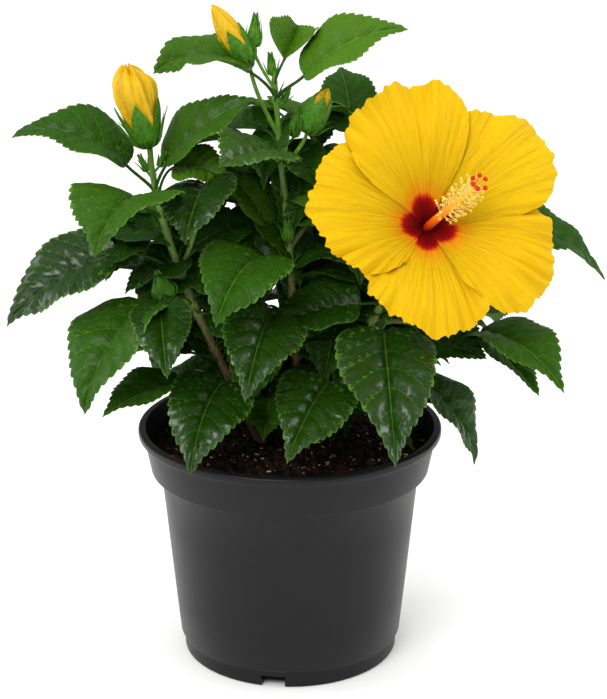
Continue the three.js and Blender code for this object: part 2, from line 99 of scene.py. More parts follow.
# Each leaf: limb and share of its run, stalk (heading, reach, rise), blade (length, width), pose (heading,
# pitch at the stalk, droop over its length, roll) in degrees, and tone, from 0, old and dark, to 1, young and
# bright. A low tone is also painted shade, given to leaves that stand deep in the crown or in the shade of
# others.
LEAVES = {
    "foliage_left_tip": ("left_stem", 0.86, (180, 15, 15), (66, 40), (178, 50, 72, 18), 0.3),
    "foliage_left_inner_tip": ("left_stem", 0.87, (0, 6, 14), (61, 36), (2, 56, 42, -24), 0.45),
    "foliage_left_inner_back": ("left_stem", 0.84, (20, 9, 17), (32, 30), (-15, 14, 50, -30), 0.9),
    "foliage_left_shoulder": ("left_stem", 0.78, (-128, 16, 10.5), (67, 56), (-108, 33, 88, 0), 0.4),
    "foliage_left_far": ("left_stem", 0.6, (-170, 34, 15), (73, 42), (-176, -13, 40, 38), 0.15),
    "foliage_left_hanging": ("left_stem", 0.48, (-156, 28, 9), (74, 56), (-127, -8, 67, -5), 0.35),
    "foliage_left_front": ("left_stem", 0.51, (-124, 29, 10), (56, 31), (-84, -14, 28, -5), 0.25),
    "foliage_left_low": ("left_stem", 0.24, (-150, 28, 5), (58, 33), (-136, 13, 35, 12), 0.35),
    "foliage_left_rim": ("left_stem", 0.22, (-105, 23, 11), (66, 42), (-106, 2, 65, 12), 0.2),
    "foliage_left_twig": ("left_twig", 1, (-60, 3, 6), (53, 40), (-100, -4, 36, -10), 0.15),
    "foliage_left_behind": ("left_stem", 0.62, (60, 8, 6), (40, 36), (-160, -10, 30, 10), 0.1),
    "foliage_top_left": ("centre_stem", 0.93, (-155, 14.5, 15), (55, 46), (168, 30, 62, 8), 0.5),
    "foliage_top_right": ("centre_stem", 0.925, (-25, 16, 14), (61, 37), (-8, 49, 47, -32), 0.95),
    "foliage_top_back": ("centre_stem", 0.97, (5, 5, 12), (35, 32), (76, 22, 0, -18), 1.0),
    "foliage_centre_shoulder": ("centre_stem", 0.77, (-92, 13, 3), (55, 42), (-125, 29, 44, 18), 0.45),
    "foliage_centre_back_left": ("centre_stem", 0.8, (128, 12, 8), (53, 34), (135, 12, 45, 10), 0.3),
    "foliage_centre_upright": ("centre_stem", 0.54, (175, 12, 12), (46, 34), (150, 60, 30, 0), 0.5),
    "foliage_centre_heart": ("centre_stem", 0.49, (-119, 31, 13), (69, 46), (-111, 9, 50, 14), 0.3),
    "foliage_centre_glossy": ("centre_stem", 0.34, (-117, 26, 13), (76, 43), (-100, 5, 50, 20), 0.2),
    "foliage_centre_shaded": ("right_stem", 0.64, (-141, 13, 4), (48, 46), (177, -3, 25, 26), 0.0),
    "foliage_centre_rim": ("centre_stem", 0.25, (-57, 31, -6), (68, 41), (-110, -3, 33, 22), 0.3),
    "foliage_centre_low": ("centre_stem", 0.12, (-157, 17, 4), (38, 26), (-94, -4, 23, 0), 0.4),
    "foliage_right_front": ("right_stem", 0.48, (-65, 24, 11), (92, 50), (-88, -6, 49, 6), 0.2),
    "foliage_right_rim": ("right_stem", 0.37, (-15, 35, -7), (58, 43), (-18, -24, 56, 0), 0.15),
    "foliage_right_far": ("right_bough", 1, (-58, 9, 0), (76, 38), (-57, 19, 56, -10), 0.35),
    "foliage_right_far_low": ("right_bough", 0.97, (-30, 4, -3), (58, 34), (-54, -5, 27, 12), 0.3),
    "foliage_right_behind_bloom": ("back_bough", 1, (-15, 12, -3), (58, 40), (2, -14, 36, -14), 0.3),
    "foliage_right_under_bloom": ("right_bough", 0.4, (-25, 11, -9), (42, 36), (-46, 6, 12, -20), 0.1),
    "foliage_upper_right": ("centre_bough", 1, (0, 1, 0), (60, 31), (95, 46, 40, 6), 0.25),
    "foliage_back_left_high": ("left_stem", 0.74, (95, 16, 4), (64, 56), (84, 4, 48, 0), 0.3),
    "foliage_back_left_mid": ("left_stem", 0.54, (80, 20, 10), (72, 62), (82, 5, 50, 0), 0.2),
    "foliage_back_left_low": ("left_stem", 0.36, (140, 24, 8), (68, 60), (138, 0, 45, 0), 0.2),
    "foliage_back_top": ("centre_stem", 0.86, (60, 12, 4), (58, 50), (70, 6, 50, 0), 0.6),
    "foliage_back_high": ("centre_stem", 0.68, (100, 16, 8), (68, 60), (100, 12, 50, 0), 0.35),
    "foliage_back_mid": ("centre_stem", 0.42, (110, 24, 10), (74, 64), (105, 5, 50, 0), 0.2),
    "foliage_back_low": ("centre_stem", 0.18, (100, 24, 12), (68, 60), (95, 5, 45, 0), 0.25),
    "foliage_back_right_high": ("back_bough", 0.5, (100, 12, 6), (66, 58), (80, 15, 50, 0), 0.3),
    "foliage_back_right_mid": ("right_stem", 0.58, (100, 24, 6), (70, 60), (75, 0, 50, 0), 0.2),
    "foliage_back_right_low": ("right_stem", 0.36, (45, 26, 8), (68, 54), (40, 5, 50, 0), 0.25),
}

# Each bud: the stalk it sits on, its size in millimetres, the way it leans, the share of it that
# the sepals cover, the share of its length at which it is widest, its width at the foot as a share
# of that, how blunt its tip is, how far up its sepals part, and whether its petals show.
BUDS = {
    "left_bud": dict(on="left_stem", length=44, radius=11.2, heading=180, pitch=76, cover=0.58, widest=0.66,
                     foot=0.42, blunt=3.0, split=0.42, petals=True),
    "top_bud": dict(on="top_bud_stalk", length=36, radius=6.8, heading=180, pitch=58, cover=0.6, widest=0.42,
                    foot=0.7, blunt=1.9, split=0.42, petals=True),
    "right_bud": dict(on="right_bud_stalk", length=26, radius=6, heading=-10, pitch=66, cover=0.86,
                      widest=0.42,
                      foot=0.72, blunt=1.9, split=0.72, petals=True),
    "small_bud": dict(on="small_bud_stalk", length=18, radius=3.6, heading=0, pitch=86, cover=1.0,
                      widest=0.36,
                      foot=0.7, blunt=1.1, point=1.15, petals=False),
}
# Green buds too young to be named: limb and share of its run, stalk (heading, reach, rise),
# length, radius, and the way they lean.
YOUNG_BUDS = [
    ("centre_stem", 0.985, (150, 1.0, 1.0), 12, 2.3, (120, 78)),
    ("centre_stem", 0.8, (-20, 7.5, 6.5), 17, 2.5, (20, 80)),
    ("centre_stem", 0.9, (20, 4.0, 4.0), 8, 1.5, (30, 68)),
    ("left_stem", 0.9, (175, 3.5, 5.0), 10, 1.4, (170, 66)),
    ("left_stem", 0.92, (10, 3.5, 4.0), 9, 1.3, (0, 70)),
    ("centre_stem", 0.55, (-95, 5, 4), 13, 2.4, (-95, 70)),
    ("left_stem", 0.54, (-150, 14, 2), 19, 6.4, (-120, 62)),
]

BLOOM_HEADING, BLOOM_PITCH = -84, 29
CALYX_LENGTH = 17.0

# ---------------------------------------------------------------- settings


def linear(hex_colour):
    """Turn an sRGB hex colour into linear red, green and blue."""
    parts = [int(hex_colour[i:i + 2], 16) / 255 for i in (1, 3, 5)]
    return tuple(p / 12.92 if p <= 0.04045 else ((p + 0.055) / 1.055) ** 2.4 for p in parts)


def size_property(name, millimetres, description):
    return FloatProperty(name=name, description=description, default=millimetres * MM, min=0.0, unit="LENGTH",
                         precision=5)


def colour_property(name, hex_colour, description):
    return FloatVectorProperty(name=name, description=description, default=linear(hex_colour),
                               subtype="COLOR",
                               size=3, min=0.0, max=1.0)


class PotSettings(bpy.types.PropertyGroup):
    height: size_property("Height", 130, "Height of the pot")
    rim_radius: size_property("Rim radius", 82.5, "Outer radius of the rolled lip")
    lip_width: size_property("Lip width", 4, "Width of the flat top of the lip")
    lip_height: size_property("Lip height", 4.5, "Height of the lip's outer edge")
    band_top_radius: size_property("Band top radius", 79.2, "Outer radius of the band under the lip")
    band_foot_radius: size_property("Band foot radius", 76, "Outer radius where the band steps in")
    band_foot: size_property("Band foot height", 105.5, "Height of the step under the band")
    wall_top_radius: size_property("Wall top radius", 70.6, "Outer radius of the tapered wall at its top")
    wall_foot_radius: size_property("Wall foot radius", 61.3, "Outer radius of the tapered wall at its foot")
    foot_radius: size_property("Foot radius", 59.1, "Outer radius of the foot ring")
    foot_height: size_property("Foot height", 9.5, "Height of the foot ring")
    wall: size_property("Wall", 1.5, "Thickness of the moulded wall")
    floor: size_property("Floor", 3, "Thickness of the floor")
    slots: IntProperty(name="Drain slots", description="Number of drain slots in the foot", default=3, min=0)
    slot_height: size_property("Slot height", 6, "Height of a drain slot")
    colour: colour_property("Plastic", "#0f0f10", "Colour of the moulded plastic")


class MixSettings(bpy.types.PropertyGroup):
    radius: size_property("Radius", 75.2, "Radius of the potting mix at its top")
    chips: IntProperty(name="Chips", description="Number of bark chips on the potting mix", default=1500,
                       min=0)
    flakes: IntProperty(name="Flakes", description="Number of pale flakes on the potting mix", default=420,
                        min=0)
    peat: colour_property("Peat", "#0c0804", "Colour of the moist peat")
    bark: colour_property("Bark chip", "#28160c", "Colour of the composted bark chips")
    flake: colour_property("Pale flake", "#96765a", "Colour of the dry fibre flakes")


class LimbSettings(bpy.types.PropertyGroup):
    ring_spacing: size_property("Ring spacing", 1.1, "Spacing of a limb's rings of faces")
    bark: colour_property("Bark", "#6a5136", "Colour of the bark low on the stems")
    skin: colour_property("Green skin", "#5d8a2a", "Colour of the young green skin near the tips")


class LeafSettings(bpy.types.PropertyGroup):
    thickness: size_property("Thickness", 0.5, "Thickness of a leaf blade beside its midrib")
    quilting: size_property("Quilting", 2.2, "Height of the puckers between side veins")
    tooth: size_property("Tooth", 1.25, "Depth of the teeth on the leaf margin")
    # The old-leaf colour also serves as painted shade on leaves deep in the crown, through their low tones.
    dark: colour_property("Mature leaf", "#0f2503", "Colour of an old leaf")
    mid: colour_property("Leaf", "#244b07", "Colour of a grown leaf")
    bright: colour_property("Young leaf", "#436b0e", "Colour of a young leaf")
    vein: colour_property("Vein", "#6e9836", "Colour of the veins and the margin")
    underside: colour_property("Underside", "#3f6620", "Colour of the matt underside")


class BloomSettings(bpy.types.PropertyGroup):
    radius: size_property("Radius", 67, "Radius of the open bloom")
    depth: size_property("Depth", 26, "Depth of the bloom's dish")
    throat: size_property("Throat", 3.6, "Radius of the bloom's throat")
    thickness: size_property("Thickness", 0.45, "Thickness of a petal")
    petal: colour_property("Petal", "#ddb303", "Colour of the petals")
    glow: colour_property("Glow", "#e49306", "Colour of the petals round the eye")
    eye: colour_property("Eye", "#7e0305", "Colour of the eye")
    stamens: IntProperty(name="Stamens", description="Number of stamens on the column", default=88, min=0)


class StageSettings(bpy.types.PropertyGroup):
    floor: colour_property("Floor", "#f7f7f6", "Colour of the floor")


SETTINGS = {
    "pot": PotSettings, "mix": MixSettings, "limbs": LimbSettings, "leaves": LeafSettings,
    "bloom": BloomSettings, "stage": StageSettings,
}


def settings(context, group):
    return getattr(context.scene, "hibiscus_" + group)


# ---------------------------------------------------------------- curves and directions


def bezier(corners, share):
    """Points of a cubic curve at an array of shares, and the way it runs there."""
    t = np.atleast_1d(np.asarray(share, float))[:, None]
    a, b, c, d = corners
    points = a * (1 - t) ** 3 + 3 * b * t * (1 - t) ** 2 + 3 * c * t ** 2 * (1 - t) + d * t ** 3
    runs = (b - a) * (1 - t) ** 2 + 2 * (c - b) * t * (1 - t) + (d - c) * t ** 2
    return points, runs / np.linalg.norm(runs, axis=1)[:, None]


def limb_corners():
    """Every limb's cubic curve, as four corners in millimetres."""
    curves = {}
    for name, limb in LIMBS.items():
        if "source" in limb:
            start = bezier(curves[limb["source"]], limb["at"])[0][0]
        else:
            start = np.array([*limb["foot"], SOIL_LEVEL - 1.0])
        tip = start + np.array(limb["tip"], float)
        first, second = (np.array(h, float) for h in limb["handles"])
        curves[name] = (start, start + first, tip + second, tip)
    return curves


CURVES = limb_corners()


def heading_vector(heading, pitch):
    """Unit vectors at a heading (0 is +X, 90 is +Y) and a pitch above the level, in degrees."""
    turn, lift = np.radians(heading), np.radians(pitch)
    return np.stack([np.cos(turn) * np.cos(lift), np.sin(turn) * np.cos(lift), np.sin(lift)], -1)


def side_vectors(axes):
    """Two unit vectors across each axis, which keep their place as the axis turns."""
    axes = np.atleast_2d(axes)
    reference = np.array([0.31, 0.95, 0.05])
    across = np.cross(reference, axes)
    across /= np.linalg.norm(across, axis=1)[:, None]
    return across, np.cross(axes, across)


def unit(vector):
    return vector / np.linalg.norm(vector)


def spokes(axis):
    """A function that gives the unit vector across an axis at a turn about it."""
    across, up = (v[0] for v in side_vectors(axis))
    return lambda turn: across * math.cos(turn) + up * math.sin(turn)


# ---------------------------------------------------------------- meshes


def finish_piece(name, mesh, materials, replaced=()):
    """Put a mesh in the scene as a piece of the plant, with its place in its vertices."""
    for material in materials:
        mesh.materials.append(material)
    piece = bpy.data.objects.new(name, mesh)
    bpy.context.scene.collection.objects.link(piece)
    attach(piece, "root")
    if replaced:
        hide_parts(*replaced)
    return piece


def to_mesh(bm, name, crease=50):
    """Turn a bmesh into a smooth mesh that stays sharp past `crease` degrees."""
    bmesh.ops.remove_doubles(bm, verts=bm.verts, dist=1e-7)
    bmesh.ops.recalc_face_normals(bm, faces=bm.faces)
    mesh = bpy.data.meshes.new(name)
    bm.to_mesh(mesh)
    bm.free()
    mesh.shade_smooth()
    mesh.set_sharp_from_angle(angle=math.radians(crease))
    return mesh


class Heap:
    """Many small shapes of the same kind, gathered as arrays and joined into one mesh."""

    def __init__(self):
        self.points, self.faces, self.kinds, self.marks = [], [], [], []
        self.count = 0

    def add(self, points, faces, kinds=0, marks=None):
        """Take in a shape's points in millimetres, faces, material numbers and marks."""
        self.points.append(points)
        self.faces += [[corner + self.count for corner in face] for face in faces]
        self.kinds += kinds if isinstance(kinds, list) else [kinds] * len(faces)
        self.marks.append(np.zeros((len(points), 3)) if marks is None else marks)
        self.count += len(points)

    def mesh(self, name, crease=50):
        mesh = bpy.data.meshes.new(name)
        mesh.from_pydata(np.concatenate(self.points) * MM, [], self.faces)
        mesh.polygons.foreach_set("material_index", self.kinds)
        marks = mesh.attributes.new("marks", "FLOAT_VECTOR", "POINT")
        marks.data.foreach_set("vector", np.concatenate(self.marks).astype(np.float32).ravel())
        mesh.shade_smooth()
        mesh.set_sharp_from_angle(angle=math.radians(crease))
        return mesh


def tube_faces(rings, sides):
    """Faces of a closed tube: its rings' corners come first, then its two end points."""
    first, last = rings * sides, rings * sides + 1
    faces = []
    for j in range(sides):
        k = (j + 1) % sides
        faces.append([first, k, j])
        for i in range(rings - 1):
            a = i * sides
            faces.append([a + j, a + k, a + sides + k, a + sides + j])
        a = (rings - 1) * sides
        faces.append([last, a + j, a + k])
    return faces


def add_tube(heap, points, radii, sides=8, kinds=0, marks=None):
    """Add a closed tapering tube along a run of points to a heap."""
    points = np.asarray(points, float)
    radii = np.broadcast_to(np.asarray(radii, float), len(points))
    runs = np.gradient(points, axis=0)
    runs /= np.linalg.norm(runs, axis=1)[:, None]
    across, up = side_vectors(runs)
    turns = np.arange(sides) * 2 * np.pi / sides
    spokes = across[:, None] * np.cos(turns)[:, None] + up[:, None] * np.sin(turns)[:, None]
    rings = points[:, None] + spokes * radii[:, None, None]
    ends = np.stack([points[0] - runs[0] * radii[0] * 0.3, points[-1] + runs[-1] * radii[-1] * 0.6])
    corners = np.concatenate([rings.reshape(-1, 3), ends])
    if marks is not None:
        marks = np.concatenate([np.repeat(marks, sides, axis=0), marks[[0, -1]]])
    heap.add(corners, tube_faces(len(points), sides), kinds, marks)


def add_ball(heap, centre, axis, radius, length, kinds=0, sides=8, rings=5):
    """Add a closed ball or bean, drawn out along its axis."""
    spoke = spokes(axis)
    turns = np.arange(sides) * 2 * np.pi / sides
    lifts = np.linspace(0, np.pi, rings + 2)[1:-1]
    corners = [centre - axis * length * 0.5 * math.cos(lift) + radius * math.sin(lift) * spoke(turn)
               for lift in lifts for turn in turns]
    corners += [centre - axis * length * 0.5, centre + axis * length * 0.5]
    heap.add(np.array(corners), tube_faces(rings, sides), kinds)


def sweep(bm, points, radii, sides):
    """Extrude a circle along a run of points in metres, ring by ring, and close its ends."""
    runs = np.gradient(points, axis=0)
    across, up = side_vectors(runs / np.linalg.norm(runs, axis=1)[:, None])
    frames = []
    for point, run, a, b, radius in zip(points, runs, across, up, radii):
        turned = (Matrix((a, b, unit(run))).transposed().to_4x4()
                  @ Matrix.Diagonal((radius, radius, radius, 1)))
        frames.append(Matrix.Translation(point) @ turned)
    made = bmesh.ops.create_circle(bm, segments=sides, radius=1.0, matrix=frames[0])
    ring = [v for v in made["verts"]]
    edges = list({e for v in ring for e in v.link_edges})
    bmesh.ops.edgeloop_fill(bm, edges=edges)
    for before, after in zip(frames, frames[1:]):
        grown = bmesh.ops.extrude_edge_only(bm, edges=edges)["geom"]
        ring = [g for g in grown if isinstance(g, bmesh.types.BMVert)]
        ring_set = set(ring)
        edges = [g for g in grown if isinstance(g, bmesh.types.BMEdge) and set(g.verts) <= ring_set]
        bmesh.ops.transform(bm, matrix=after @ before.inverted(), verts=ring)
    bmesh.ops.edgeloop_fill(bm, edges=edges)


def spin_profile(profile, steps, first=0.0):
    """Spin a profile of radii and heights in metres round the height, from a first turn on."""
    bm = bmesh.new()
    turned = Matrix.Rotation(first, 3, "Z")
    corners = [bm.verts.new(turned @ Vector((r, 0, z))) for r, z in profile]
    edges = [bm.edges.new(pair) for pair in zip(corners, corners[1:])]
    bmesh.ops.spin(bm, geom=corners + edges, axis=(0, 0, 1), cent=(0, 0, 0), angle=2 * math.pi, steps=steps,
                   use_merge=True)
    bmesh.ops.remove_doubles(bm, verts=bm.verts, dist=1e-6)
    return bm


def mark_along(mesh, points, values):
    """Mark every corner with the value at the nearest point of a run in metres."""
    marks = mesh.attributes.new("marks", "FLOAT_VECTOR", "POINT")
    for v, mark in zip(mesh.vertices, marks.data):
        mark.vector = (values[np.argmin(((points - np.array(v.co)) ** 2).sum(1))], 0, 0)


# ---------------------------------------------------------------- materials


def add(tree, kind, properties=None, inputs=None):
    """Add a shader node, set its properties, and fill or link its inputs."""
    made = tree.nodes.new("ShaderNode" + kind)
    for key, value in (properties or {}).items():
        if key == "stops":
            ramp = made.color_ramp
            for element, (place, colour) in zip(ramp.elements, (value[0], value[-1])):
                element.position = place
                element.color = (*colour, 1)
            for place, colour in value[1:-1]:
                ramp.elements.new(place).color = (*colour, 1)
        else:
            setattr(made, key, value)
    for key, value in (inputs or {}).items():
        socket = made.inputs[key]
        if isinstance(value, bpy.types.NodeSocket):
            tree.links.new(value, socket)
        elif socket.type == "RGBA":
            socket.default_value = (*value[:3], 1)
        else:
            socket.default_value = value
    return made


def per_metre(millimetres):
    """Pattern scale at which one blotch is about this many millimetres across."""
    return 1000.0 / millimetres


def shade(colour, factor):
    return tuple(min(1.0, c * factor) for c in colour)


class Skin:
    """A material while its nodes are put together: its tree, its shader and its object coordinates."""

    def __init__(self, name, **sockets):
        self.material = bpy.data.materials.new(name)
        self.material.use_nodes = True
        self.tree = self.material.node_tree
        self.shader = self.tree.nodes["Principled BSDF"]
        for key, value in sockets.items():
            socket = self.shader.inputs[key.replace("_", " ").title().replace("Ior", "IOR")]
            socket.default_value = (*value, 1) if socket.type == "RGBA" else value
        self.place = self.add("TexCoord").outputs["Object"]

    def add(self, kind, properties=None, inputs=None):
        return add(self.tree, kind, properties, inputs)

    def noise(self, across, detail, roughness=0.5, place=None):
        """Noise with blotches of a size in millimetres."""
        place = self.place if place is None else place
        return self.add("TexNoise", None, {"Vector": place, "Scale": per_metre(across), "Detail": detail,
                                           "Roughness": roughness}).outputs["Fac"]

    def cells(self, across, feature="F1"):
        """Distances in a pattern of cells of a size in millimetres."""
        return self.add("TexVoronoi", {"feature": feature},
                        {"Vector": self.place, "Scale": per_metre(across)}).outputs["Distance"]

    def drawn_out(self, length):
        """The object coordinates, drawn out along the height."""
        return self.add("Mapping", {"vector_type": "TEXTURE"},
                        {"Vector": self.place, "Scale": (1, 1, length)}).outputs["Vector"]

    def ramp(self, share, *stops):
        return self.add("ValToRGB", {"stops": stops}, {"Fac": share}).outputs["Color"]

    def remap(self, value, smooth=False, **ends):
        """A value taken from one range to another: from_min, from_max, to_min and to_max."""
        kind = {"interpolation_type": "SMOOTHSTEP"} if smooth else None
        ends = {key.replace("_", " ").title(): end for key, end in ends.items()}
        return self.add("MapRange", kind, {"Value": value, **ends}).outputs["Result"]

    def calc(self, operation, *values, clamp=False):
        return self.add("Math", {"operation": operation, "use_clamp": clamp},
                        dict(enumerate(values))).outputs["Value"]

    def mix(self, share, first, second, blend="MIX"):
        return self.add("Mix", {"data_type": "RGBA", "blend_type": blend},
                        {0: share, 6: first, 7: second}).outputs[2]

    def parts(self, attribute):
        """The three numbers of an attribute that the mesh carries."""
        read = self.add("Attribute", {"attribute_name": attribute})
        split = self.add("SeparateXYZ", None, {"Vector": read.outputs["Vector"]})
        return [split.outputs[k] for k in "XYZ"]

    def finish(self, colour, roughness=None, height=None, strength=0.0, depth=0.0):
        """Link what was made to the shader, with a relief of a depth in millimetres."""
        self.tree.links.new(colour, self.shader.inputs["Base Color"])
        if roughness is not None:
            self.tree.links.new(roughness, self.shader.inputs["Roughness"])
        if height is not None:
            bump = self.add("Bump", None, {"Height": height, "Strength": strength, "Distance": depth * MM})
            self.tree.links.new(bump.outputs["Normal"], self.shader.inputs["Normal"])
        return self.material


def pot_plastic(context):
    """Injection-moulded polypropylene: charcoal black, satin, with faint orange peel and dusty streaks."""
    colour = tuple(settings(context, "pot").colour)
    skin = Skin("moulded_polypropylene", ior=1.45, roughness=0.36, specular_ior_level=0.27)
    dust = skin.noise(22, 5.0, 0.6)
    tint = skin.ramp(dust, (0.3, shade(colour, 0.82)), (0.75, shade(colour, 1.35)))
    return skin.finish(tint, skin.remap(dust, to_min=0.3, to_max=0.48), skin.noise(1.2, 3.0), 0.12, 0.1)


def potting_mix(context):
    """Moist sieved peat: nearly black crumbs with brown fibre, fully matt."""
    colour = tuple(settings(context, "mix").peat)
    skin = Skin("moist_peat", ior=1.45, roughness=0.95, specular_ior_level=0.15)
    crumbs = skin.noise(2.5, 6.0, 0.7)
    tint = skin.ramp(crumbs, (0.35, shade(colour, 0.5)), (0.55, colour), (0.75, shade(colour, 2.6)))
    return skin.finish(tint, None, crumbs, 0.8, 1.2)


def grained(skin, colour, across, dark, bright, strength, depth):
    """A skin whose own grain both tints it and raises it."""
    grain = skin.noise(across, 4.0)
    tint = skin.ramp(grain, (0.3, shade(colour, dark)), (0.7, shade(colour, bright)))
    return skin.finish(tint, None, grain, strength, depth)


def chip_material(name, colour, grain):
    """Split wood or fibre: dry, matt, with short grain."""
    skin = Skin(name, ior=1.5, roughness=0.85, specular_ior_level=0.2)
    return grained(skin, colour, grain, 0.55, 1.3, 0.5, 0.4)


def soft_green(name, colour, roughness, fleck=2.0):
    """Young plant skin: a waxy green with faint lighter streaks."""
    skin = Skin(name, ior=1.45, roughness=roughness, specular_ior_level=0.25)
    return grained(skin, colour, fleck, 0.6, 1.3, 0.25, 0.2)


def bark_material(context):
    """Thin shrub bark: brown-grey with pale corky dots and fine cracks low down, turning green above."""
    limbs = settings(context, "limbs")
    bark, green = tuple(limbs.bark), tuple(limbs.skin)
    skin = Skin("hibiscus_bark", ior=1.45, roughness=0.7)
    grain = skin.noise(1.4, 5.0, 0.65, skin.drawn_out(6))
    dots = skin.remap(skin.cells(4.5), from_min=0.1, from_max=0.2, to_min=0.7, to_max=0.0)
    corky = skin.ramp(grain, (0.3, shade(bark, 0.55)), (0.55, bark), (0.8, shade(bark, 1.6)))
    dotted = skin.mix(dots, corky, shade(bark, 2.3))
    young = skin.ramp(grain, (0.3, shade(green, 0.6)), (0.7, shade(green, 1.15)))
    up_the_plant = skin.calc("MULTIPLY_ADD", grain, 0.5, skin.parts("marks")[0])
    youth = skin.remap(up_the_plant, from_min=0.55, from_max=1.0)
    rough = skin.remap(youth, to_min=0.75, to_max=0.45)
    return skin.finish(skin.mix(youth, dotted, young), rough, grain, 0.5, 0.3)


def leaf_material(name, colours, vein, roughness, gloss, vein_strength, bump_strength):
    """Leaf skin: waxy green, puckered between its veins. The marks hold the way from the midrib in mm, the
    side vein's number and the share of the blade's length; the tone attribute holds each leaf's tone, which
    is partly its age and partly painted shade for leaves deep in the crown or under others, then the way
    across it and a number of its own."""
    skin = Skin(name, ior=1.45, roughness=roughness, specular_ior_level=gloss[0], coat_weight=gloss[1],
                coat_roughness=0.22)
    across, vein_number, share = skin.parts("marks")
    tone, way_across, _ = skin.parts("tone")
    rib_width = skin.remap(share, to_min=0.8, to_max=0.25)
    rib = skin.remap(skin.calc("ABSOLUTE", across), True, from_min=rib_width, from_max=0.0)
    side = skin.remap(skin.calc("PINGPONG", vein_number, 0.5), True, from_min=0.04, from_max=0.0, to_max=0.4)
    margin = skin.remap(way_across, from_min=0.94, from_max=1.0, to_max=0.65)
    lines = skin.calc("MAXIMUM", skin.calc("MAXIMUM", rib, side), margin)
    blotch = skin.noise(5, 5.0, 0.65)
    # A low tone takes the dark end of the ramp: old leaves, and painted shade on leaves deep in the crown.
    toned = skin.calc("MULTIPLY_ADD", blotch, 0.45, tone, clamp=True)
    green = skin.ramp(toned, *zip((0.0, 0.5, 1.0), colours))
    painted = skin.mix(skin.calc("MULTIPLY", lines, vein_strength), green, vein)
    rough = skin.remap(blotch, to_min=roughness - 0.12, to_max=roughness + 0.14)
    cell = skin.remap(skin.cells(2.8, "DISTANCE_TO_EDGE"), True, from_max=0.25, to_max=0.35)
    sunk = skin.calc("MULTIPLY_ADD", side, -0.7, cell)
    height = skin.calc("MULTIPLY_ADD", skin.noise(3.5, 4.0), 0.9, sunk)
    return skin.finish(painted, rough, height, bump_strength, 0.9)


# How light spreads in petal tissue.
TISSUE = dict(ior=1.4, roughness=0.55, subsurface_radius=(1.0, 0.55, 0.08), subsurface_scale=2 * MM)


def petal_material(context):
    """Petal tissue: thin, softly matt golden yellow with fine pleats, an orange glow and a crimson eye; the
    pleats' valleys are painted a deeper orange as shade, and the eye is painted darker just outside the
    throat as shade. The marks hold the share from throat to margin, the way across the petal and the turn in
    pleats."""
    bloom = settings(context, "bloom")
    petal, glow, eye = tuple(bloom.petal), tuple(bloom.glow), tuple(bloom.eye)
    skin = Skin("hibiscus_petal", specular_ior_level=0.2, subsurface_weight=0.12, **TISSUE)
    out, across, turn = skin.parts("marks")
    pleat_place = skin.add("CombineXYZ", None, {"X": turn, "Y": out}).outputs["Vector"]
    pleat = skin.add("TexNoise", None, {"Vector": pleat_place, "Scale": 3.0, "Detail": 5.0,
                                        "Roughness": 0.6}).outputs["Fac"]
    lobed = skin.calc("MULTIPLY_ADD", skin.calc("POWER", across, 2.0), 0.06, out)
    wandering = skin.calc("ADD", lobed, skin.calc("MULTIPLY_ADD", pleat, 0.09, -0.045))
    # The eye darkens just outside the throat: painted shade where the throat's shadow falls.
    reach = skin.ramp(wandering, (0.0, shade(eye, 0.9)), (0.08, shade(eye, 0.7)), (0.16, eye),
                      (0.205, linear("#a00706")), (0.222, linear("#d83c0c")), (0.245, glow),
                      (0.36, shade(petal, 0.94)), (0.7, petal), (1.0, petal))
    # The same pleat noise raises the relief: its valleys are tinted deeper orange as painted shade, with fine
    # darker veins.
    streaks_and_pleat_shade = skin.ramp(pleat, (0.28, (0.94, 0.8, 0.5)), (0.5, (0.99, 0.96, 0.9)), (0.72, (1, 1, 1)))
    return skin.finish(skin.mix(1.0, reach, streaks_and_pleat_shade, "MULTIPLY"), None, pleat, 0.8, 1.2)


def column_material():
    """Waxy column: crimson at its foot, orange, then golden where the stamens leave it."""
    skin = Skin("waxy_stamen_column", ior=1.45, roughness=0.4)
    wander = skin.calc("MULTIPLY_ADD", skin.noise(2, 3.0), 0.08, skin.parts("marks")[0])
    colours = ("#7c0306", "#c4130a", "#f2560f", "#fa8f14", "#fbb130", "#fcc04a")
    return skin.finish(skin.ramp(wander, *zip((0.05, 0.2, 0.32, 0.5, 0.75, 1.0), map(linear, colours))))


def furled_material(petal):
    """Furled petals: golden yellow, with a darker line of painted shade under each overlapping petal edge,
    and fine drawn-out pleats whose low parts are painted darker, partly as streaks and partly as shade.
    """
    skin = Skin("furled_petal", subsurface_weight=0.1, **TISSUE)
    # The darkest stop, at the start of each fold, is painted shade under the neighbouring petal's overlapping
    # edge.
    fold = skin.ramp(skin.parts("marks")[1], (0.0, linear("#c49414")), (0.12, shade(petal, 0.82)),
                     (0.5, shade(petal, 0.93)), (0.9, shade(petal, 0.96)), (1.0, linear("#d0a420")))
    pleat = skin.noise(1.6, 4.0, 0.6, skin.drawn_out(4))
    # The pleat noise also raises the relief: its low parts get darker streaks and painted shade.
    streaks_and_pleat_shade = skin.ramp(pleat, (0.3, (0.84, 0.79, 0.66)), (0.6, (1, 1, 1)))
    return skin.finish(skin.mix(1.0, fold, streaks_and_pleat_shade, "MULTIPLY"), None, pleat, 0.7, 0.6)


# ---------------------------------------------------------------- pot and potting mix


def arc(centre_r, centre_z, radius, first, last, steps):
    """Points of a round corner in a profile, from one angle to another in degrees."""
    turns = np.radians(np.linspace(first, last, steps + 1))
    return [(centre_r + radius * math.cos(t), centre_z + radius * math.sin(t)) for t in turns]


POT_STEPS = 144  # faces round the pot
SLOT_FACES = 5  # faces round the pot that a drain slot takes
FIRST_SLOT_HEADING = -98.75
SLOT_INNER_RADIUS = 50 * MM


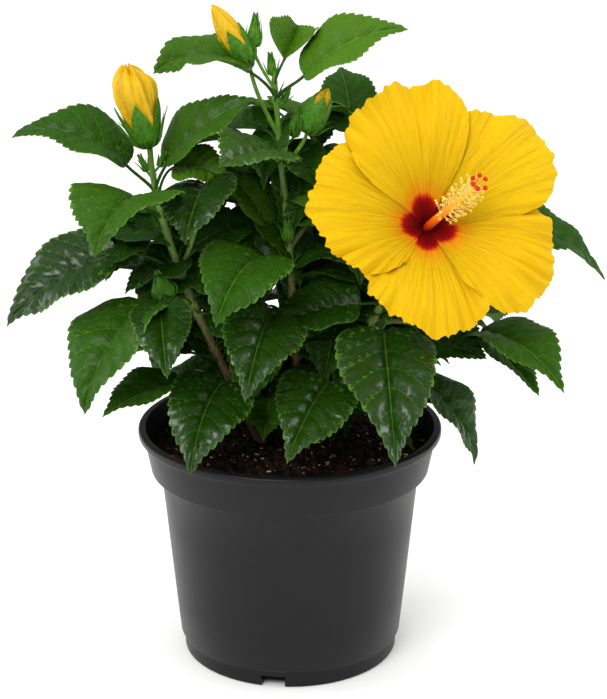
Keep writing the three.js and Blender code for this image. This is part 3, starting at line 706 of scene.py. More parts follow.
def pot_profile(pot):
    """The wall's profile, up the outside, over the rolled lip and down the inside, in metres."""
    edge, lip = 1.2 * MM, 1.6 * MM
    slot = pot.slot_height
    lip_foot = pot.height - pot.lip_height
    outer = [(0, 0), (SLOT_INNER_RADIUS, 0), (pot.foot_radius - 1.6 * MM, 0)]
    outer += arc(pot.foot_radius - 1.0 * MM, 1.0 * MM, 1.0 * MM, -90, 0, 4)[1:]
    outer += [(pot.foot_radius, slot), (pot.foot_radius, pot.foot_height - 1.2 * MM)]
    outer += [(pot.foot_radius + 0.3 * MM, pot.foot_height - 0.5 * MM)]
    outer += [(pot.wall_foot_radius - 0.5 * MM, pot.foot_height + 0.3 * MM)]
    outer += [(pot.wall_foot_radius, pot.foot_height + 1.2 * MM)]
    for share in (0.25, 0.5, 0.75):
        rise = pot.foot_height + (pot.band_foot - pot.foot_height) * share
        outer += [(pot.wall_foot_radius + (pot.wall_top_radius - pot.wall_foot_radius) * share, rise)]
    outer += [(pot.wall_top_radius, pot.band_foot - 1.2 * MM)]
    outer += [(pot.wall_top_radius + 0.7 * MM, pot.band_foot - 0.2 * MM)]
    outer += [(pot.band_foot_radius - 1.6 * MM, pot.band_foot)]
    outer += arc(pot.band_foot_radius - 1.2 * MM, pot.band_foot + 1.2 * MM, 1.2 * MM, -70, 0, 4)
    outer += [(pot.band_top_radius - 0.2 * MM, lip_foot - 3.6 * MM),
              (pot.band_top_radius, lip_foot - 1.6 * MM)]
    outer += [(pot.band_top_radius + 0.5 * MM, lip_foot - 0.6 * MM)]
    outer += arc(pot.rim_radius - edge, lip_foot + edge, edge, -60, 0, 3)
    outer += arc(pot.rim_radius - lip, pot.height - lip, lip, 0, 90, 6)
    inner_lip = pot.rim_radius - pot.lip_width
    inner = arc(inner_lip + 0.7 * MM, pot.height - 0.7 * MM, 0.7 * MM, 90, 170, 4)
    inner += [(pot.band_top_radius - pot.wall, lip_foot - 1.5 * MM)]
    inner += [(pot.band_foot_radius - pot.wall, pot.band_foot + pot.wall)]
    inner += [(pot.wall_top_radius - pot.wall, pot.band_foot - pot.wall)]
    inner += [(pot.wall_foot_radius - pot.wall, pot.foot_height + pot.wall)]
    inner += [(pot.foot_radius - pot.wall, pot.foot_height), (pot.foot_radius - pot.wall, slot)]
    inner += [(pot.foot_radius - pot.wall, pot.floor + 0.6 * MM),
              (pot.foot_radius - pot.wall - 0.6 * MM, pot.floor)]
    inner += [(SLOT_INNER_RADIUS, pot.floor), (0, pot.floor)]
    return outer + inner


def cut_slots(bm, pot):
    """Open the drain slots at the foot and join the outer skin to the inner one round each."""
    span = SLOT_FACES * 2 * math.pi / POT_STEPS
    for k in range(pot.slots):
        middle = math.radians(FIRST_SLOT_HEADING) + k * 2 * math.pi / pot.slots
        doomed = []
        for face in bm.faces:
            centre = face.calc_center_median()
            away = (math.atan2(centre.y, centre.x) - middle + math.pi) % (2 * math.pi) - math.pi
            if abs(away) < span / 2 and centre.xy.length > SLOT_INNER_RADIUS and centre.z < pot.slot_height:
                doomed.append(face)
        bmesh.ops.delete(bm, geom=doomed, context="FACES")
        open_edges = [e for e in bm.edges if e.is_boundary]
        bmesh.ops.bridge_loops(bm, edges=open_edges)


class HIBISCUS_OT_pot(bpy.types.Operator):
    """Spin the nursery pot: foot ring with drain slots, tapered wall, stepped band and rolled lip"""
    bl_idname = "hibiscus.pot"
    bl_label = "Nursery pot"

    def execute(self, context):
        pot = settings(context, "pot")
        first = math.radians(FIRST_SLOT_HEADING) - SLOT_FACES / 2 * 2 * math.pi / POT_STEPS
        bm = spin_profile(pot_profile(pot), POT_STEPS, first)
        cut_slots(bm, pot)
        mesh = to_mesh(bm, "nursery_pot", 40)
        finish_piece("nursery_pot", mesh, [pot_plastic(context)], ["pot"])
        return {"FINISHED"}


SOIL_DROP = 2.0  # how far the potting mix sinks towards the wall, in millimetres
SOIL_REACH = 75.0  # where it has sunk by that much, in millimetres from the middle
MIX_SIDE = ((57.0, 9.5), (59.2, 11.5), (68.3, 103.4), (73.6, 107.8))  # radii and heights inside the wall
MIX_SHOULDER = 113  # height at which the mix meets its top, in millimetres
MIX_RINGS, MIX_STEPS = 60, 180  # faces across the potting mix's top and round it


def soil_height(x, y):
    """Height of the potting mix's crumbly top, in millimetres."""
    share = math.hypot(x, y) / SOIL_REACH
    lumps = noise.noise(Vector((x, y, 0)) / 16.0) * 1.6 + noise.noise(Vector((x, y, 7)) / 6.0) * 0.9
    crumbs = noise.noise(Vector((x, y, 3)) / 2.2) * 0.7
    return SOIL_LEVEL - 0.6 - SOIL_DROP * share ** 3 + lumps + crumbs


def flake(rng, size, thin, stretch):
    """An irregular flat chip with five or six corners, in millimetres, and its faces."""
    corners = rng.integers(5, 7)
    turns = (np.arange(corners) + rng.uniform(-0.3, 0.3, corners)) * 2 * np.pi / corners
    reach = size * rng.uniform(0.7, 1.2, corners)
    flat = np.stack([np.cos(turns) * reach * stretch, np.sin(turns) * reach], -1)
    lower = np.column_stack([flat, np.full(corners, -thin)])
    upper = np.column_stack([flat * 0.82, np.full(corners, thin)])
    faces = [list(range(corners))[::-1], list(range(corners, 2 * corners))]
    faces += [[j, (j + 1) % corners, corners + (j + 1) % corners, corners + j] for j in range(corners)]
    return np.concatenate([lower, upper]), faces


def scatter_flakes(heap, rng, count, sizes, thin, stretch, kinds, radius):
    """Scatter chips over the potting mix, each lying at a small tilt of its own."""
    for _ in range(count):
        far, turn = radius * math.sqrt(rng.uniform()), rng.uniform(0, 2 * np.pi)
        x, y = far * math.cos(turn), far * math.sin(turn)
        points, faces = flake(rng, rng.uniform(*sizes), thin * rng.uniform(0.6, 1.4), rng.uniform(1, stretch))
        lean = Matrix.Rotation(rng.uniform(0, 6.28), 3, "Z") @ Matrix.Rotation(rng.normal(0, 0.32), 3, "X")
        lean = lean @ Matrix.Rotation(rng.normal(0, 0.32), 3, "Y")
        points = points @ np.array(lean).T + np.array([x, y, soil_height(x, y) + thin * 0.5])
        heap.add(points, faces, int(rng.choice(kinds)))


class HIBISCUS_OT_mix(bpy.types.Operator):
    """Fill the pot with crumbly potting mix and scatter bark chips and pale flakes over it"""
    bl_idname = "hibiscus.mix"
    bl_label = "Potting mix"

    def execute(self, context):
        mix = settings(context, "mix")
        low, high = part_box("soil")
        side = [(r * MM, z * MM) for r, z in MIX_SIDE]
        top = [(mix.radius * (1 - k / MIX_RINGS), high.z - 3 * MM) for k in range(MIX_RINGS + 1)]
        foot = [(0, low.z), (side[0][0], low.z)]
        bm = spin_profile([*foot, *side, (mix.radius, MIX_SHOULDER * MM), *top], MIX_STEPS)
        for v in bm.verts:
            if v.co.z > high.z - 4 * MM:
                v.co.z = soil_height(v.co.x / MM, v.co.y / MM) * MM
        mesh = to_mesh(bm, "potting_mix", 80)
        finish_piece("potting_mix", mesh, [potting_mix(context)], ["soil"])
        rng = np.random.default_rng(SEEDS["mix"])
        chips, flakes = Heap(), Heap()
        radius = mix.radius / MM - 2.0
        scatter_flakes(chips, rng, mix.chips, (0.7, 2.6), 0.45, 2.0, [0, 0, 1], radius)
        scatter_flakes(flakes, rng, mix.flakes, (0.35, 1.2), 0.2, 2.6, [0, 0, 1], radius)
        dark = chip_material("composted_bark", shade(mix.bark, 0.55), 1.5)
        brown = chip_material("fresh_bark_chip", tuple(mix.bark), 1.5)
        tan = chip_material("dry_fibre", tuple(mix.flake), 1.0)
        pale = chip_material("bleached_fibre", shade(mix.flake, 1.7), 1.0)
        finish_piece("bark_chips", chips.mesh("bark_chips", 30), [dark, brown])
        finish_piece("fibre_flakes", flakes.mesh("fibre_flakes", 30), [tan, pale])
        return {"FINISHED"}


# ---------------------------------------------------------------- stems, boughs and stalks

LIMB_SIDES = 20
SOIL_DEPTH = 6.0  # how deep a stem's foot stands in the potting mix, in millimetres
BOUGH_YOUTH = {"left_twig": 0.45, "centre_bough": 0.4, "back_bough": 0.3, "right_bough": 0.25}


def limb_nodes(name):
    """Shares of a limb's run where leaves and side limbs leave it."""
    shares = {row[1] for row in LEAVES.values() if row[0] == name}
    shares |= {limb["at"] for limb in LIMBS.values() if limb.get("source") == name}
    return sorted(share for share in shares if share < 0.99)


class HIBISCUS_OT_limbs(bpy.types.Operator):
    """Sweep every stem, bough and stalk, with swollen leaf nodes and cracked bark in relief"""
    bl_idname = "hibiscus.limbs"
    bl_label = "Stems and boughs"

    def execute(self, context):
        limbs = settings(context, "limbs")
        bark = bark_material(context)
        stalk = soft_green("green_flower_stalk", tuple(limbs.skin), 0.45)
        for name, limb in LIMBS.items():
            corners = CURVES[name]
            length = np.linalg.norm(corners[3] - corners[0])
            rings = max(12, int(length / (limbs.ring_spacing / MM)))
            shares = np.linspace(0, 1, rings)
            points, runs = bezier(corners, shares)
            foot, tip = limb["radii"]
            radii = foot + (tip - foot) * shares
            for at in limb_nodes(name):
                radii = radii * (1 + 0.2 * np.exp(-(((shares - at) * length - 0.6) / 1.6) ** 2))
            if "foot" in limb:
                below = points[0] - runs[0] * SOIL_DEPTH
                points = np.vstack([below, points])
                radii, shares = np.append(foot * 1.15, radii), np.append(0.0, shares)
            bm = bmesh.new()
            sweep(bm, points * MM, radii * MM, LIMB_SIDES)
            self.roughen(bm, name, points * MM, shares)
            mesh = to_mesh(bm, name + "_bark", 70)
            # The bark turns green with the way up the plant, which a bough starts part of the way up.
            young = BOUGH_YOUTH.get(name, 0.0)
            mark_along(mesh, points * MM, young + (1 - young) * shares)
            green = name.endswith("stalk")
            finish_piece(name + "_bark", mesh, [stalk if green else bark],
                         [name])
        return {"FINISHED"}

    @staticmethod
    def roughen(bm, name, points, shares):
        """Press cracks and corky lumps into the skin, more at the foot than at the tip."""
        strength = 0.03 if name.endswith("stalk") else 0.1
        tips = [Vector(p) for p in points]
        for v in bm.verts:
            nearest = min(range(len(tips)), key=lambda i: (tips[i] - v.co).length_squared)
            spoke = v.co - tips[nearest]
            place = v.co / MM
            crack = noise.noise(Vector((place.x * 1.1, place.y * 1.1, place.z * 0.22)))
            lump = noise.noise(place * 0.45)
            young = 1 - 0.75 * shares[nearest]
            v.co += spoke * strength * young * (1.1 * crack + 0.9 * lump)


# ---------------------------------------------------------------- leaves


FIRST_TOOTH, LAST_TOOTH = 0.17, 0.95  # where the teeth start and end, as shares of a blade's length
TIP_ROWS = (0.962, 0.985)
# How far a tooth stands out at each share of its own length.
TOOTH_PEAKS = {0.0: 0.0, 0.3: 0.55, 0.5: 0.7, 0.6: 0.95, 0.8: 0.9, 0.85: 0.8}


class BladeGrid:
    """Where a leaf blade's corners lie: shares along its length and across each half."""

    def __init__(self, base, teeth, tooth_steps, across):
        toothed = [FIRST_TOOTH + (LAST_TOOTH - FIRST_TOOTH) * (k + step) / teeth
                   for k in range(teeth) for step in tooth_steps]
        self.along = np.array([*base, *toothed, *TIP_ROWS])
        self.tooth = np.zeros(len(self.along))
        for row in range(len(toothed)):
            self.tooth[len(base) + row] = TOOTH_PEAKS[tooth_steps[row % len(tooth_steps)]]
        half = np.array(across)
        self.across = np.concatenate([-half[::-1], [0.0], half])
        self.faces, self.kinds = self.make_faces()

    def make_faces(self):
        """Faces over the upper skin and the underside, which share the margin's corners."""
        rows, columns = len(self.along), len(self.across)
        upper = np.arange(rows * columns).reshape(rows, columns) + 2
        lower = upper.copy()
        lower[:, 1:-1] = np.arange(rows * (columns - 2)).reshape(rows, -1) + 2 + rows * columns
        faces, kinds = [], []
        for skin, kind in ((upper, 0), (lower, 1)):
            for j in range(columns - 1):
                strip = [[0, skin[0, j + 1], skin[0, j]], [1, skin[-1, j], skin[-1, j + 1]]]
                strip += [[skin[i, j], skin[i, j + 1], skin[i + 1, j + 1], skin[i + 1, j]]
                          for i in range(rows - 1)]
                faces += [[int(c) for c in (face if kind == 0 else face[::-1])] for face in strip]
                kinds += [kind] * len(strip)
        return faces, kinds


FINE_BLADE = BladeGrid((0.012, 0.035, 0.07, 0.115), 13, (0.0, 0.3, 0.6, 0.85),
                       (0.05, 0.14, 0.28, 0.45, 0.63, 0.82, 1.0))
PLAIN_BLADE = BladeGrid((0.02, 0.07, 0.12), 8, (0.0, 0.5, 0.8), (0.08, 0.3, 0.6, 1.0))
VEIN_SPACING = 0.15  # side veins along a blade, as a share of its length


def half_width(share, width):
    """Half the blade's width: rounded at its base, widest at a third and drawn out to a long point."""
    drawn = 1 - 0.24 * np.exp(-(((share - 0.86) / 0.1) ** 2))
    return 0.5 * width * np.sin(np.pi * share ** 0.56) ** (0.68 + 0.5 * share ** 2) * drawn


def leaf_blade(heap, leaves, base, size, pose, tone, grid, rng, bent=(0, 0, 0), quilt=1.0):
    """Add one leaf blade: its midrib droops, its halves fold up, and its veins pucker it. It may also be
    bent: its outer half swung to the side, its whole length twisted and both halves folded up, in
    degrees."""
    length, width = size
    heading, pitch, droop, roll = pose
    fine = np.linspace(0, 1, 81)
    bend = rng.normal(0, 4.0)
    curl = rng.uniform(0, 8)
    turns = heading + bend * (fine - 0.3) + bent[0] * np.clip((fine - 0.45) / 0.55, 0, 1) ** 1.3
    lifts = pitch - droop * fine - curl * np.clip((fine - 0.75) / 0.25, 0, 1) ** 2
    runs = heading_vector(turns, lifts)
    middles = (base + np.concatenate([[np.zeros(3)], np.cumsum((runs[1:] + runs[:-1]) * 0.5, axis=0)])
               * length / 80)
    along = grid.along
    middle = np.stack([np.interp(along, fine, middles[:, k]) for k in range(3)], -1)
    turn, lift = np.interp(along, fine, turns), np.interp(along, fine, lifts)
    run, flat = heading_vector(turn, lift), heading_vector(turn, lift + 90)
    level = np.cross(run, flat)
    tilt = (np.radians(roll + bent[1] * (along - 0.3))
            + 0.10 * np.sin(2 * np.pi * (along * 0.8 + rng.uniform())))
    side = level * np.cos(tilt)[:, None] + flat * np.sin(tilt)[:, None]
    normal = flat * np.cos(tilt)[:, None] - level * np.sin(tilt)[:, None]
    v, u = along[:, None], grid.across[None, :]
    half = half_width(v, width)
    edge = np.abs(u) ** 6
    tooth = grid.tooth[:, None] * edge * leaves.tooth / MM * min(1.0, width / 42) * np.sin(np.pi * v) ** 0.35
    phases = rng.uniform(0, 2 * np.pi, 4)
    lopsided = 1 + 0.05 * np.sign(u) * math.sin(phases[3])
    across = u * half * lopsided + np.sign(u) * tooth
    forward = tooth * 0.9
    slant = (0.2 + 0.26 * (1 - v) ** 2) * np.abs(u) ** 1.15 * (1 - 0.25 * v)
    vein = (v - slant) / VEIN_SPACING + phases[0]
    pucker = np.abs(np.sin(np.pi * vein)) ** 0.8 * (1 - np.abs(u) ** 4) * np.clip(np.abs(across) / 3, 0, 1)
    lift_up = half * (0.42 * np.abs(u) - 0.17 * u * u)
    lift_up = lift_up + leaves.quilting / MM * quilt * (width / 46) * pucker
    wave = np.sin(2 * np.pi * 2.1 * v + np.where(u > 0, phases[1], phases[2])) * np.abs(u) ** 2.2
    lift_up = lift_up + wave * 0.042 * width * np.sin(np.pi * v) ** 0.6
    groove = np.exp(-((across / 0.9) ** 2))
    thick = leaves.thickness / MM * (1 - np.abs(u) ** 4)
    keel = groove * 0.9 * (1 - 0.8 * v)
    upper_lift = lift_up - 0.1 * groove
    lower_lift = lift_up - thick - keel

    folded = math.radians(bent[2])

    def skin(lifted):
        aside = across * math.cos(folded)
        raised = lifted + np.abs(across) * math.sin(folded)
        return (middle[:, None] + side[:, None] * aside[..., None] + normal[:, None] * raised[..., None]
                + run[:, None] * forward[..., None])

    upper, lower = skin(upper_lift), skin(lower_lift)[:, 1:-1]
    points = np.concatenate([[middles[0], middles[-1]], upper.reshape(-1, 3), lower.reshape(-1, 3)])
    marks = np.stack(np.broadcast_arrays(across, vein, v + 0 * u), -1)
    ends = np.array([[0.0, phases[0], 0.0], [0.0, 1 / VEIN_SPACING, 1.0]])
    heap.add(points, grid.faces, list(grid.kinds),
             np.concatenate([ends, marks.reshape(-1, 3), marks[:, 1:-1].reshape(-1, 3)]))
    across_share = np.abs(u) + 0 * v
    shares = np.concatenate([[0.0, 1.0], across_share.ravel(), across_share[:, 1:-1].ravel()])
    heap.ages_and_shades.append(np.column_stack([np.full(len(points), tone), shares,
                                       np.full(len(points), rng.uniform())]))


class LeafHeap(Heap):
    """A heap of leaf blades that also keeps each blade's tone."""

    def __init__(self):
        super().__init__()
        self.ages_and_shades = []

    def mesh(self, name, crease=50):
        mesh = super().mesh(name, crease)
        tone = mesh.attributes.new("tone", "FLOAT_VECTOR", "POINT")
        tone.data.foreach_set("vector", np.concatenate(self.ages_and_shades).astype(np.float32).ravel())
        return mesh


def leaf_stalk(heap, node, run, base, first, radius):
    """Add the bowed stalk from a limb's node to a blade's base, thicker at both ends."""
    reach = np.linalg.norm(base - node)
    lead = unit(0.6 * run + 0.7 * unit(base - node))
    corners = (node, node + lead * reach * 0.35, base - first * reach * 0.3, base + first * 1.5)
    shares = np.linspace(0, 1, 14)
    points = bezier(corners, shares)[0]
    swell = 1 + 0.35 * np.exp(-(shares / 0.08) ** 2) + 0.2 * np.exp(-((shares - 1) / 0.1) ** 2)
    add_tube(heap, points, radius * (1 - 0.25 * shares) * swell, 10,
             marks=np.column_stack([shares, np.zeros((14, 2))]))


def leaf_base(limb, at, stalk):
    """A leaf's node on its limb, the limb's run there, and the place of the blade's base."""
    heading, reach, rise = stalk
    points, runs = bezier(CURVES[limb], at)
    base = points[0] + heading_vector(heading, 0) * reach + np.array([0, 0, rise])
    return points[0], runs[0], base


# Leaves between the named masses, told in the same way. Most have low tones, which paint the shade inside the
# crown.
INNER_LEAVES = [
    ("centre_stem", 0.66, (-60, 9, 3), (24, 15), (-30, 10, 30, -8), 0.8),
    ("centre_stem", 0.6, (-40, 8, 2), (20, 13), (-10, 20, 40, -10), 0.85),
    ("left_stem", 0.7, (-170, 12, 2), (34, 24), (-172, -14, 30, 16), 0.1),
    ("centre_bough", 0.85, (-30, 5, 0), (36, 22), (-12, 4, 22, -8), 0.0),
    ("left_stem", 0.42, (20, 12, 6), (44, 30), (12, -6, 40, -12), 0.1),
    ("left_stem", 0.32, (30, 14, 6), (42, 28), (40, 0, 40, 0), 0.15),
    ("centre_stem", 0.38, (165, 14, 6), (44, 30), (172, 0, 42, 12), 0.1),
    ("centre_stem", 0.6, (120, 16, 0), (40, 27), (170, -10, 30, 12), 0.15),
    ("centre_stem", 0.3, (20, 12, 6), (42, 28), (25, 0, 42, -10), 0.15),
    ("right_stem", 0.3, (160, 12, 6), (40, 26), (165, 0, 40, 10), 0.15),
    ("right_stem", 0.22, (-60, 12, 5), (38, 25), (-50, 0, 40, 0), 0.2),
    ("right_stem", 0.82, (150, 10, 4), (44, 30), (140, 10, 40, 8), 0.15),
    ("right_stem", 0.8, (60, 12, 4), (46, 30), (50, 5, 40, 0), 0.2),
    ("centre_bough", 0.5, (60, 8, 3), (44, 30), (60, 10, 40, 0), 0.2),
    ("left_stem", 0.7, (150, 12, 2), (46, 34), (172, 10, 30, 35), 0.1),
    ("left_stem", 0.62, (30, 8, 12), (44, 32), (20, 35, 50, -30), 0.1),
    ("left_stem", 0.58, (-20, 6, 4), (38, 30), (-20, 20, 50, -30), 0.2),
    ("left_stem", 0.48, (-10, 5, 1), (38, 28), (-15, -5, 30, -35), 0.1),
]
# Bent blades: how far the outer half swings to the side, how far the whole twists and how far both
# halves fold up, in degrees.
BENT = {"foliage_top_left": (60, 55, 0), "foliage_top_back": (0, 0, 42)}
# Old leaves with a strong gloss and deep puckers.
GLOSSY = ["foliage_left_front", "foliage_centre_glossy", "foliage_right_front", "foliage_left_far",
          "foliage_centre_rim", "foliage_left_rim", "foliage_left_twig", "foliage_centre_shoulder"]
# Seeded leaves up each limb: first and last share of its run, their number and their seed.
INNER_SPIRALS = {
    "left_stem": (0.12, 0.72, 13, 37), "centre_stem": (0.1, 0.84, 19, 11), "right_stem": (0.14, 0.86, 13, 3),
    "centre_bough": (0.15, 0.8, 6, 4), "right_bough": (0.2, 0.85, 4, 5), "back_bough": (0.2, 0.9, 5, 6),
    "left_twig": (0.1, 0.7, 3, 5),
}
# Seeded leaves that hang behind the limbs and face the front, told in the same way.
INNER_CURTAINS = {
    "left_stem": (0.3, 0.74, 9, 39), "centre_stem": (0.25, 0.82, 17, 31), "right_stem": (0.3, 0.8, 8, 5),
    "centre_bough": (0.1, 0.8, 5, 16), "right_bough": (0.15, 0.6, 3, 5),
}
SPRAY_TWIGS = 3  # side leaves that a deep mass grows besides its lead leaf


class HIBISCUS_OT_leaves(bpy.types.Operator):
    """Grow every leaf: one on its stalk for each front mass, a seeded spray for each deep one"""
    bl_idname = "hibiscus.leaves"
    bl_label = "Leaves"

    def execute(self, context):
        leaves = settings(context, "leaves")
        kinds = ("mature", "glossy", "young", "back", "inner")
        blades, names = {kind: LeafHeap() for kind in kinds}, {kind: [] for kind in kinds}
        stalks, bracts = Heap(), Heap()
        for number, (name, row) in enumerate(LEAVES.items()):
            rng = np.random.default_rng([SEEDS["leaves"], number])
            deep = "_back_" in name and name != "foliage_centre_back_left"
            age = "glossy" if name in GLOSSY else "young" if row[5] > 0.5 else "back" if deep else "mature"
            names[age].append(name)
            if deep:
                self.spray(leaves, blades[age], stalks, row, rng)
            else:
                self.single(leaves, blades[age], stalks, row, FINE_BLADE, rng, BENT.get(name, (0, 0, 0)),
                            1.4 if age == "glossy" else 1.0)
            self.stipules(bracts, row, rng)
        for number, row in enumerate(INNER_LEAVES):
            rng = np.random.default_rng([SEEDS["inner"], number])
            self.single(leaves, blades["young" if row[5] > 0.5 else "mature"], stalks, row, FINE_BLADE, rng)
            self.stipules(bracts, row, rng)
        self.fill(leaves, blades["inner"], stalks, bracts)
        vein, mid = tuple(leaves.vein), tuple(leaves.mid)
        dark, bright, back = tuple(leaves.dark), tuple(leaves.bright), tuple(leaves.underside)
        matt = (0.15, 0.0)
        lower = leaf_material("leaf_underside", (shade(back, 0.6), back, shade(back, 1.3)), shade(vein, 1.1),
                              0.6, matt, 0.6, -0.4)
        skins = {
            "mature": (leaf_material("mature_leaf_skin", (dark, mid, bright), vein, 0.36, (0.12, 0.15), 0.6,
                                     0.75),
                       lower),
            "glossy": (leaf_material("waxy_leaf_skin",
                                     (shade(dark, 0.7), shade(mid, 0.65), shade(bright, 0.8)), vein,
                                     0.3, (0.18, 0.8), 0.55, 0.6), lower),
            "young": (leaf_material("young_leaf_skin", (mid, shade(bright, 0.75), bright), shade(vein, 1.1),
                                    0.42,
                                    (0.16, 0.05), 0.7, 0.7),
                      leaf_material("young_leaf_underside", (shade(bright, 0.7), shade(bright, 0.9), bright),
                                    shade(vein, 1.15), 0.6, matt, 0.5, -0.3)),
        }
        skins["back"] = skins["inner"] = skins["mature"]
        for age, heap in blades.items():
            finish_piece(age + "_leaves", heap.mesh(age + "_leaves"), skins[age], names[age])
        green = soft_green("leaf_stalk_skin", mid, 0.42)
        finish_piece("leaf_stalks", stalks.mesh("leaf_stalks"), [green])
        finish_piece("stipules", bracts.mesh("stipules"), [soft_green("stipule_skin", mid, 0.55)])
        return {"FINISHED"}

    @staticmethod
    def single(leaves, blades, stalks, row, grid, rng, bent=(0, 0, 0), quilt=1.0):
        """One leaf on its stalk."""
        limb, at, stalk, size, pose, tone = row
        node, run, base = leaf_base(limb, at, stalk)
        leaf_stalk(stalks, node, run, base, heading_vector(pose[0], pose[1]), 0.7 + 0.005 * size[0])
        leaf_blade(blades, leaves, base, size, pose, tone, grid, rng, bent, quilt)

    def fill(self, leaves, blades, stalks, bracts):
        """Leaves up every limb in a spiral, turned to its sides and back, to close the crown."""
        for limb, (first, last, count, seed) in INNER_SPIRALS.items():
            rng = np.random.default_rng([SEEDS["spiral"], seed])
            for k in range(count):
                at = first + (last - first) * (k + rng.uniform(0.2, 0.8)) / count
                heading = (k * math.degrees(GOLDEN) + rng.normal(0, 12)) % 360
                if math.sin(math.radians(heading)) < -0.3:
                    heading = 360 - heading
                stalk = (heading, rng.uniform(12, 24), rng.uniform(2, 9))
                length = rng.uniform(38, 56)
                pose = (heading + rng.normal(0, 14), rng.uniform(-6, 22), rng.uniform(32, 56),
                        rng.normal(0, 12))
                # The low tones paint the shade inside the crown.
                row = (limb, at, stalk, (length, length * rng.uniform(0.6, 0.7)), pose, rng.uniform(0.0, 0.3))
                self.single(leaves, blades, stalks, row, PLAIN_BLADE, rng)
                self.stipules(bracts, row, np.random.default_rng([SEEDS["spiral_stipules"], seed, k]))
        for limb, (first, last, count, seed) in INNER_CURTAINS.items():
            rng = np.random.default_rng([SEEDS["curtain"], seed])
            for k in range(count):
                at = first + (last - first) * (k + rng.uniform(0.1, 0.9)) / count
                stalk = (90 + rng.uniform(-65, 65), rng.uniform(17, 28), rng.uniform(0, 10))
                length = rng.uniform(42, 56)
                pose = (-90 + (70 if k % 2 else -70) * rng.uniform(0.2, 1.1), rng.uniform(-50, -15),
                        rng.uniform(25, 45), rng.normal(0, 12))
                # The low tones paint the shade inside the crown.
                row = (limb, at, stalk, (length, length * rng.uniform(0.62, 0.72)), pose,
                       rng.uniform(0.0, 0.3))
                self.single(leaves, blades, stalks, row, PLAIN_BLADE, rng)

    def spray(self, leaves, blades, stalks, row, rng):
        """A lead leaf on a thin twig with smaller leaves at its sides, inside the mass's outline."""
        limb, at, stalk, (length, width), pose, tone = row
        self.single(leaves, blades, stalks, (limb, at, stalk, (length, width * 0.72), pose, tone), FINE_BLADE,
                    rng)
        node, _, base = leaf_base(limb, at, stalk)
        for k in range(SPRAY_TWIGS):
            hand = 1 if k % 2 else -1
            start = node + (base - node) * (0.35 + 0.2 * k)
            heading = pose[0] + hand * rng.uniform(38, 62)
            out = start + heading_vector(heading, 20) * rng.uniform(7, 12)
            small = rng.uniform(0.45, 0.62)
            side_pose = (heading, pose[1] + rng.uniform(0, 14), pose[2] * 0.9, rng.uniform(-12, 12))
            leaf_stalk(stalks, start, unit(base - node), out, heading_vector(*side_pose[:2]), 0.8)
            leaf_blade(blades, leaves, out, (length * small, length * small * 0.62), side_pose,
                       min(1.0, tone + rng.uniform(0, 0.2)), FINE_BLADE, rng)

    @staticmethod
    def stipules(heap, row, rng):
        """A pair of thin pointed stipules where a leaf stalk leaves its limb."""
        limb, at, stalk, *_ = row
        node, run, base = leaf_base(limb, at, stalk)
        out = unit(base - node)
        across = unit(np.cross(out, run))
        for hand in (-1, 1):
            lean = unit(0.8 * run + 0.35 * out + hand * rng.uniform(0.25, 0.6) * across)
            length = rng.uniform(6, 10)
            shares = np.linspace(0, 1, 6)[:, None]
            points = node + across * hand * 1.2 + lean * length * shares + out * 1.5 * shares ** 2
            add_tube(heap, points, 0.6 * (1 - shares[:, 0]) ** 0.7 + 0.1, 6)


# ---------------------------------------------------------------- bloom

BLOOM_AXIS = heading_vector(BLOOM_HEADING, BLOOM_PITCH)
BLOOM_ACROSS = unit(np.cross([0, 0, 1], BLOOM_AXIS))
BLOOM_UP = np.cross(BLOOM_AXIS, BLOOM_ACROSS)
CALYX_BASE = CURVES["right_stem"][3] + BLOOM_AXIS * 0.3
THROAT = CALYX_BASE + BLOOM_AXIS * (CALYX_LENGTH + 0.3)

# Petals: whether the clockwise side edge and the other lie over (1) or under (-1) their
# neighbours, then the outline, as turns about the throat in degrees and reaches in millimetres.
PETALS = {
    "top": ((1, 1), ((60, 32), (64, 46), (69, 60), (75, 66), (84, 73), (93, 71), (102, 73), (113, 69),
                     (124, 67), (133, 61), (142, 50), (149, 37))),
    "left": ((-1, 1), ((126, 43), (134, 58), (144, 61), (151, 64), (159, 61), (168, 64), (175, 65),
                       (181, 61), (187, 58), (194, 57), (201, 53), (209, 50), (219, 45), (227, 38),
                       (234, 31), (241, 19))),
    "bottom": ((-1, -1), ((208, 35), (219, 46), (229, 51), (238, 54), (245, 55), (252, 56), (261, 58),
                          (268, 62), (276, 61), (286, 60), (296, 55), (306, 48), (314, 36))),
    "lower_right": ((1, -1), ((292, 36), (299, 54), (306, 63), (314, 68), (321, 67), (330, 68), (340, 64),
                              (347, 63), (357, 59), (366, 51), (374, 39))),
    "upper_right": ((1, -1), ((-4, 24), (-1, 43), (4, 55), (9, 62), (17, 68), (26, 73), (36, 74), (44, 74),
                              (51, 68), (60, 64), (70, 59), (79, 45))),
}
PETAL_COLUMNS, PETAL_ROWS = 128, 72
BASE_HALF = 42.0  # half the turn that each petal takes at the throat, in degrees
# Waves in a petal's margin: height in millimetres, waves to a degree and place in the noise.
SCALLOPS = ((1.5, 0.22, 0.3), (1.6, 0.5, 4.3), (0.7, 1.3, 7.3))
PADS = 6  # stigma pads at the column's tip
COLUMN_TURN, COLUMN_REACH = (-57, 37), 48  # heading and pitch in degrees, and millimetres, to its tip
COLUMN_RADIUS, COLUMN_TAPER = 2.6, 1.2  # at the throat and lost by the tip, in millimetres
FIRST_STAMEN, STAMEN_SPAN = 0.46, 0.5  # shares of the column: below the stamens, and with them


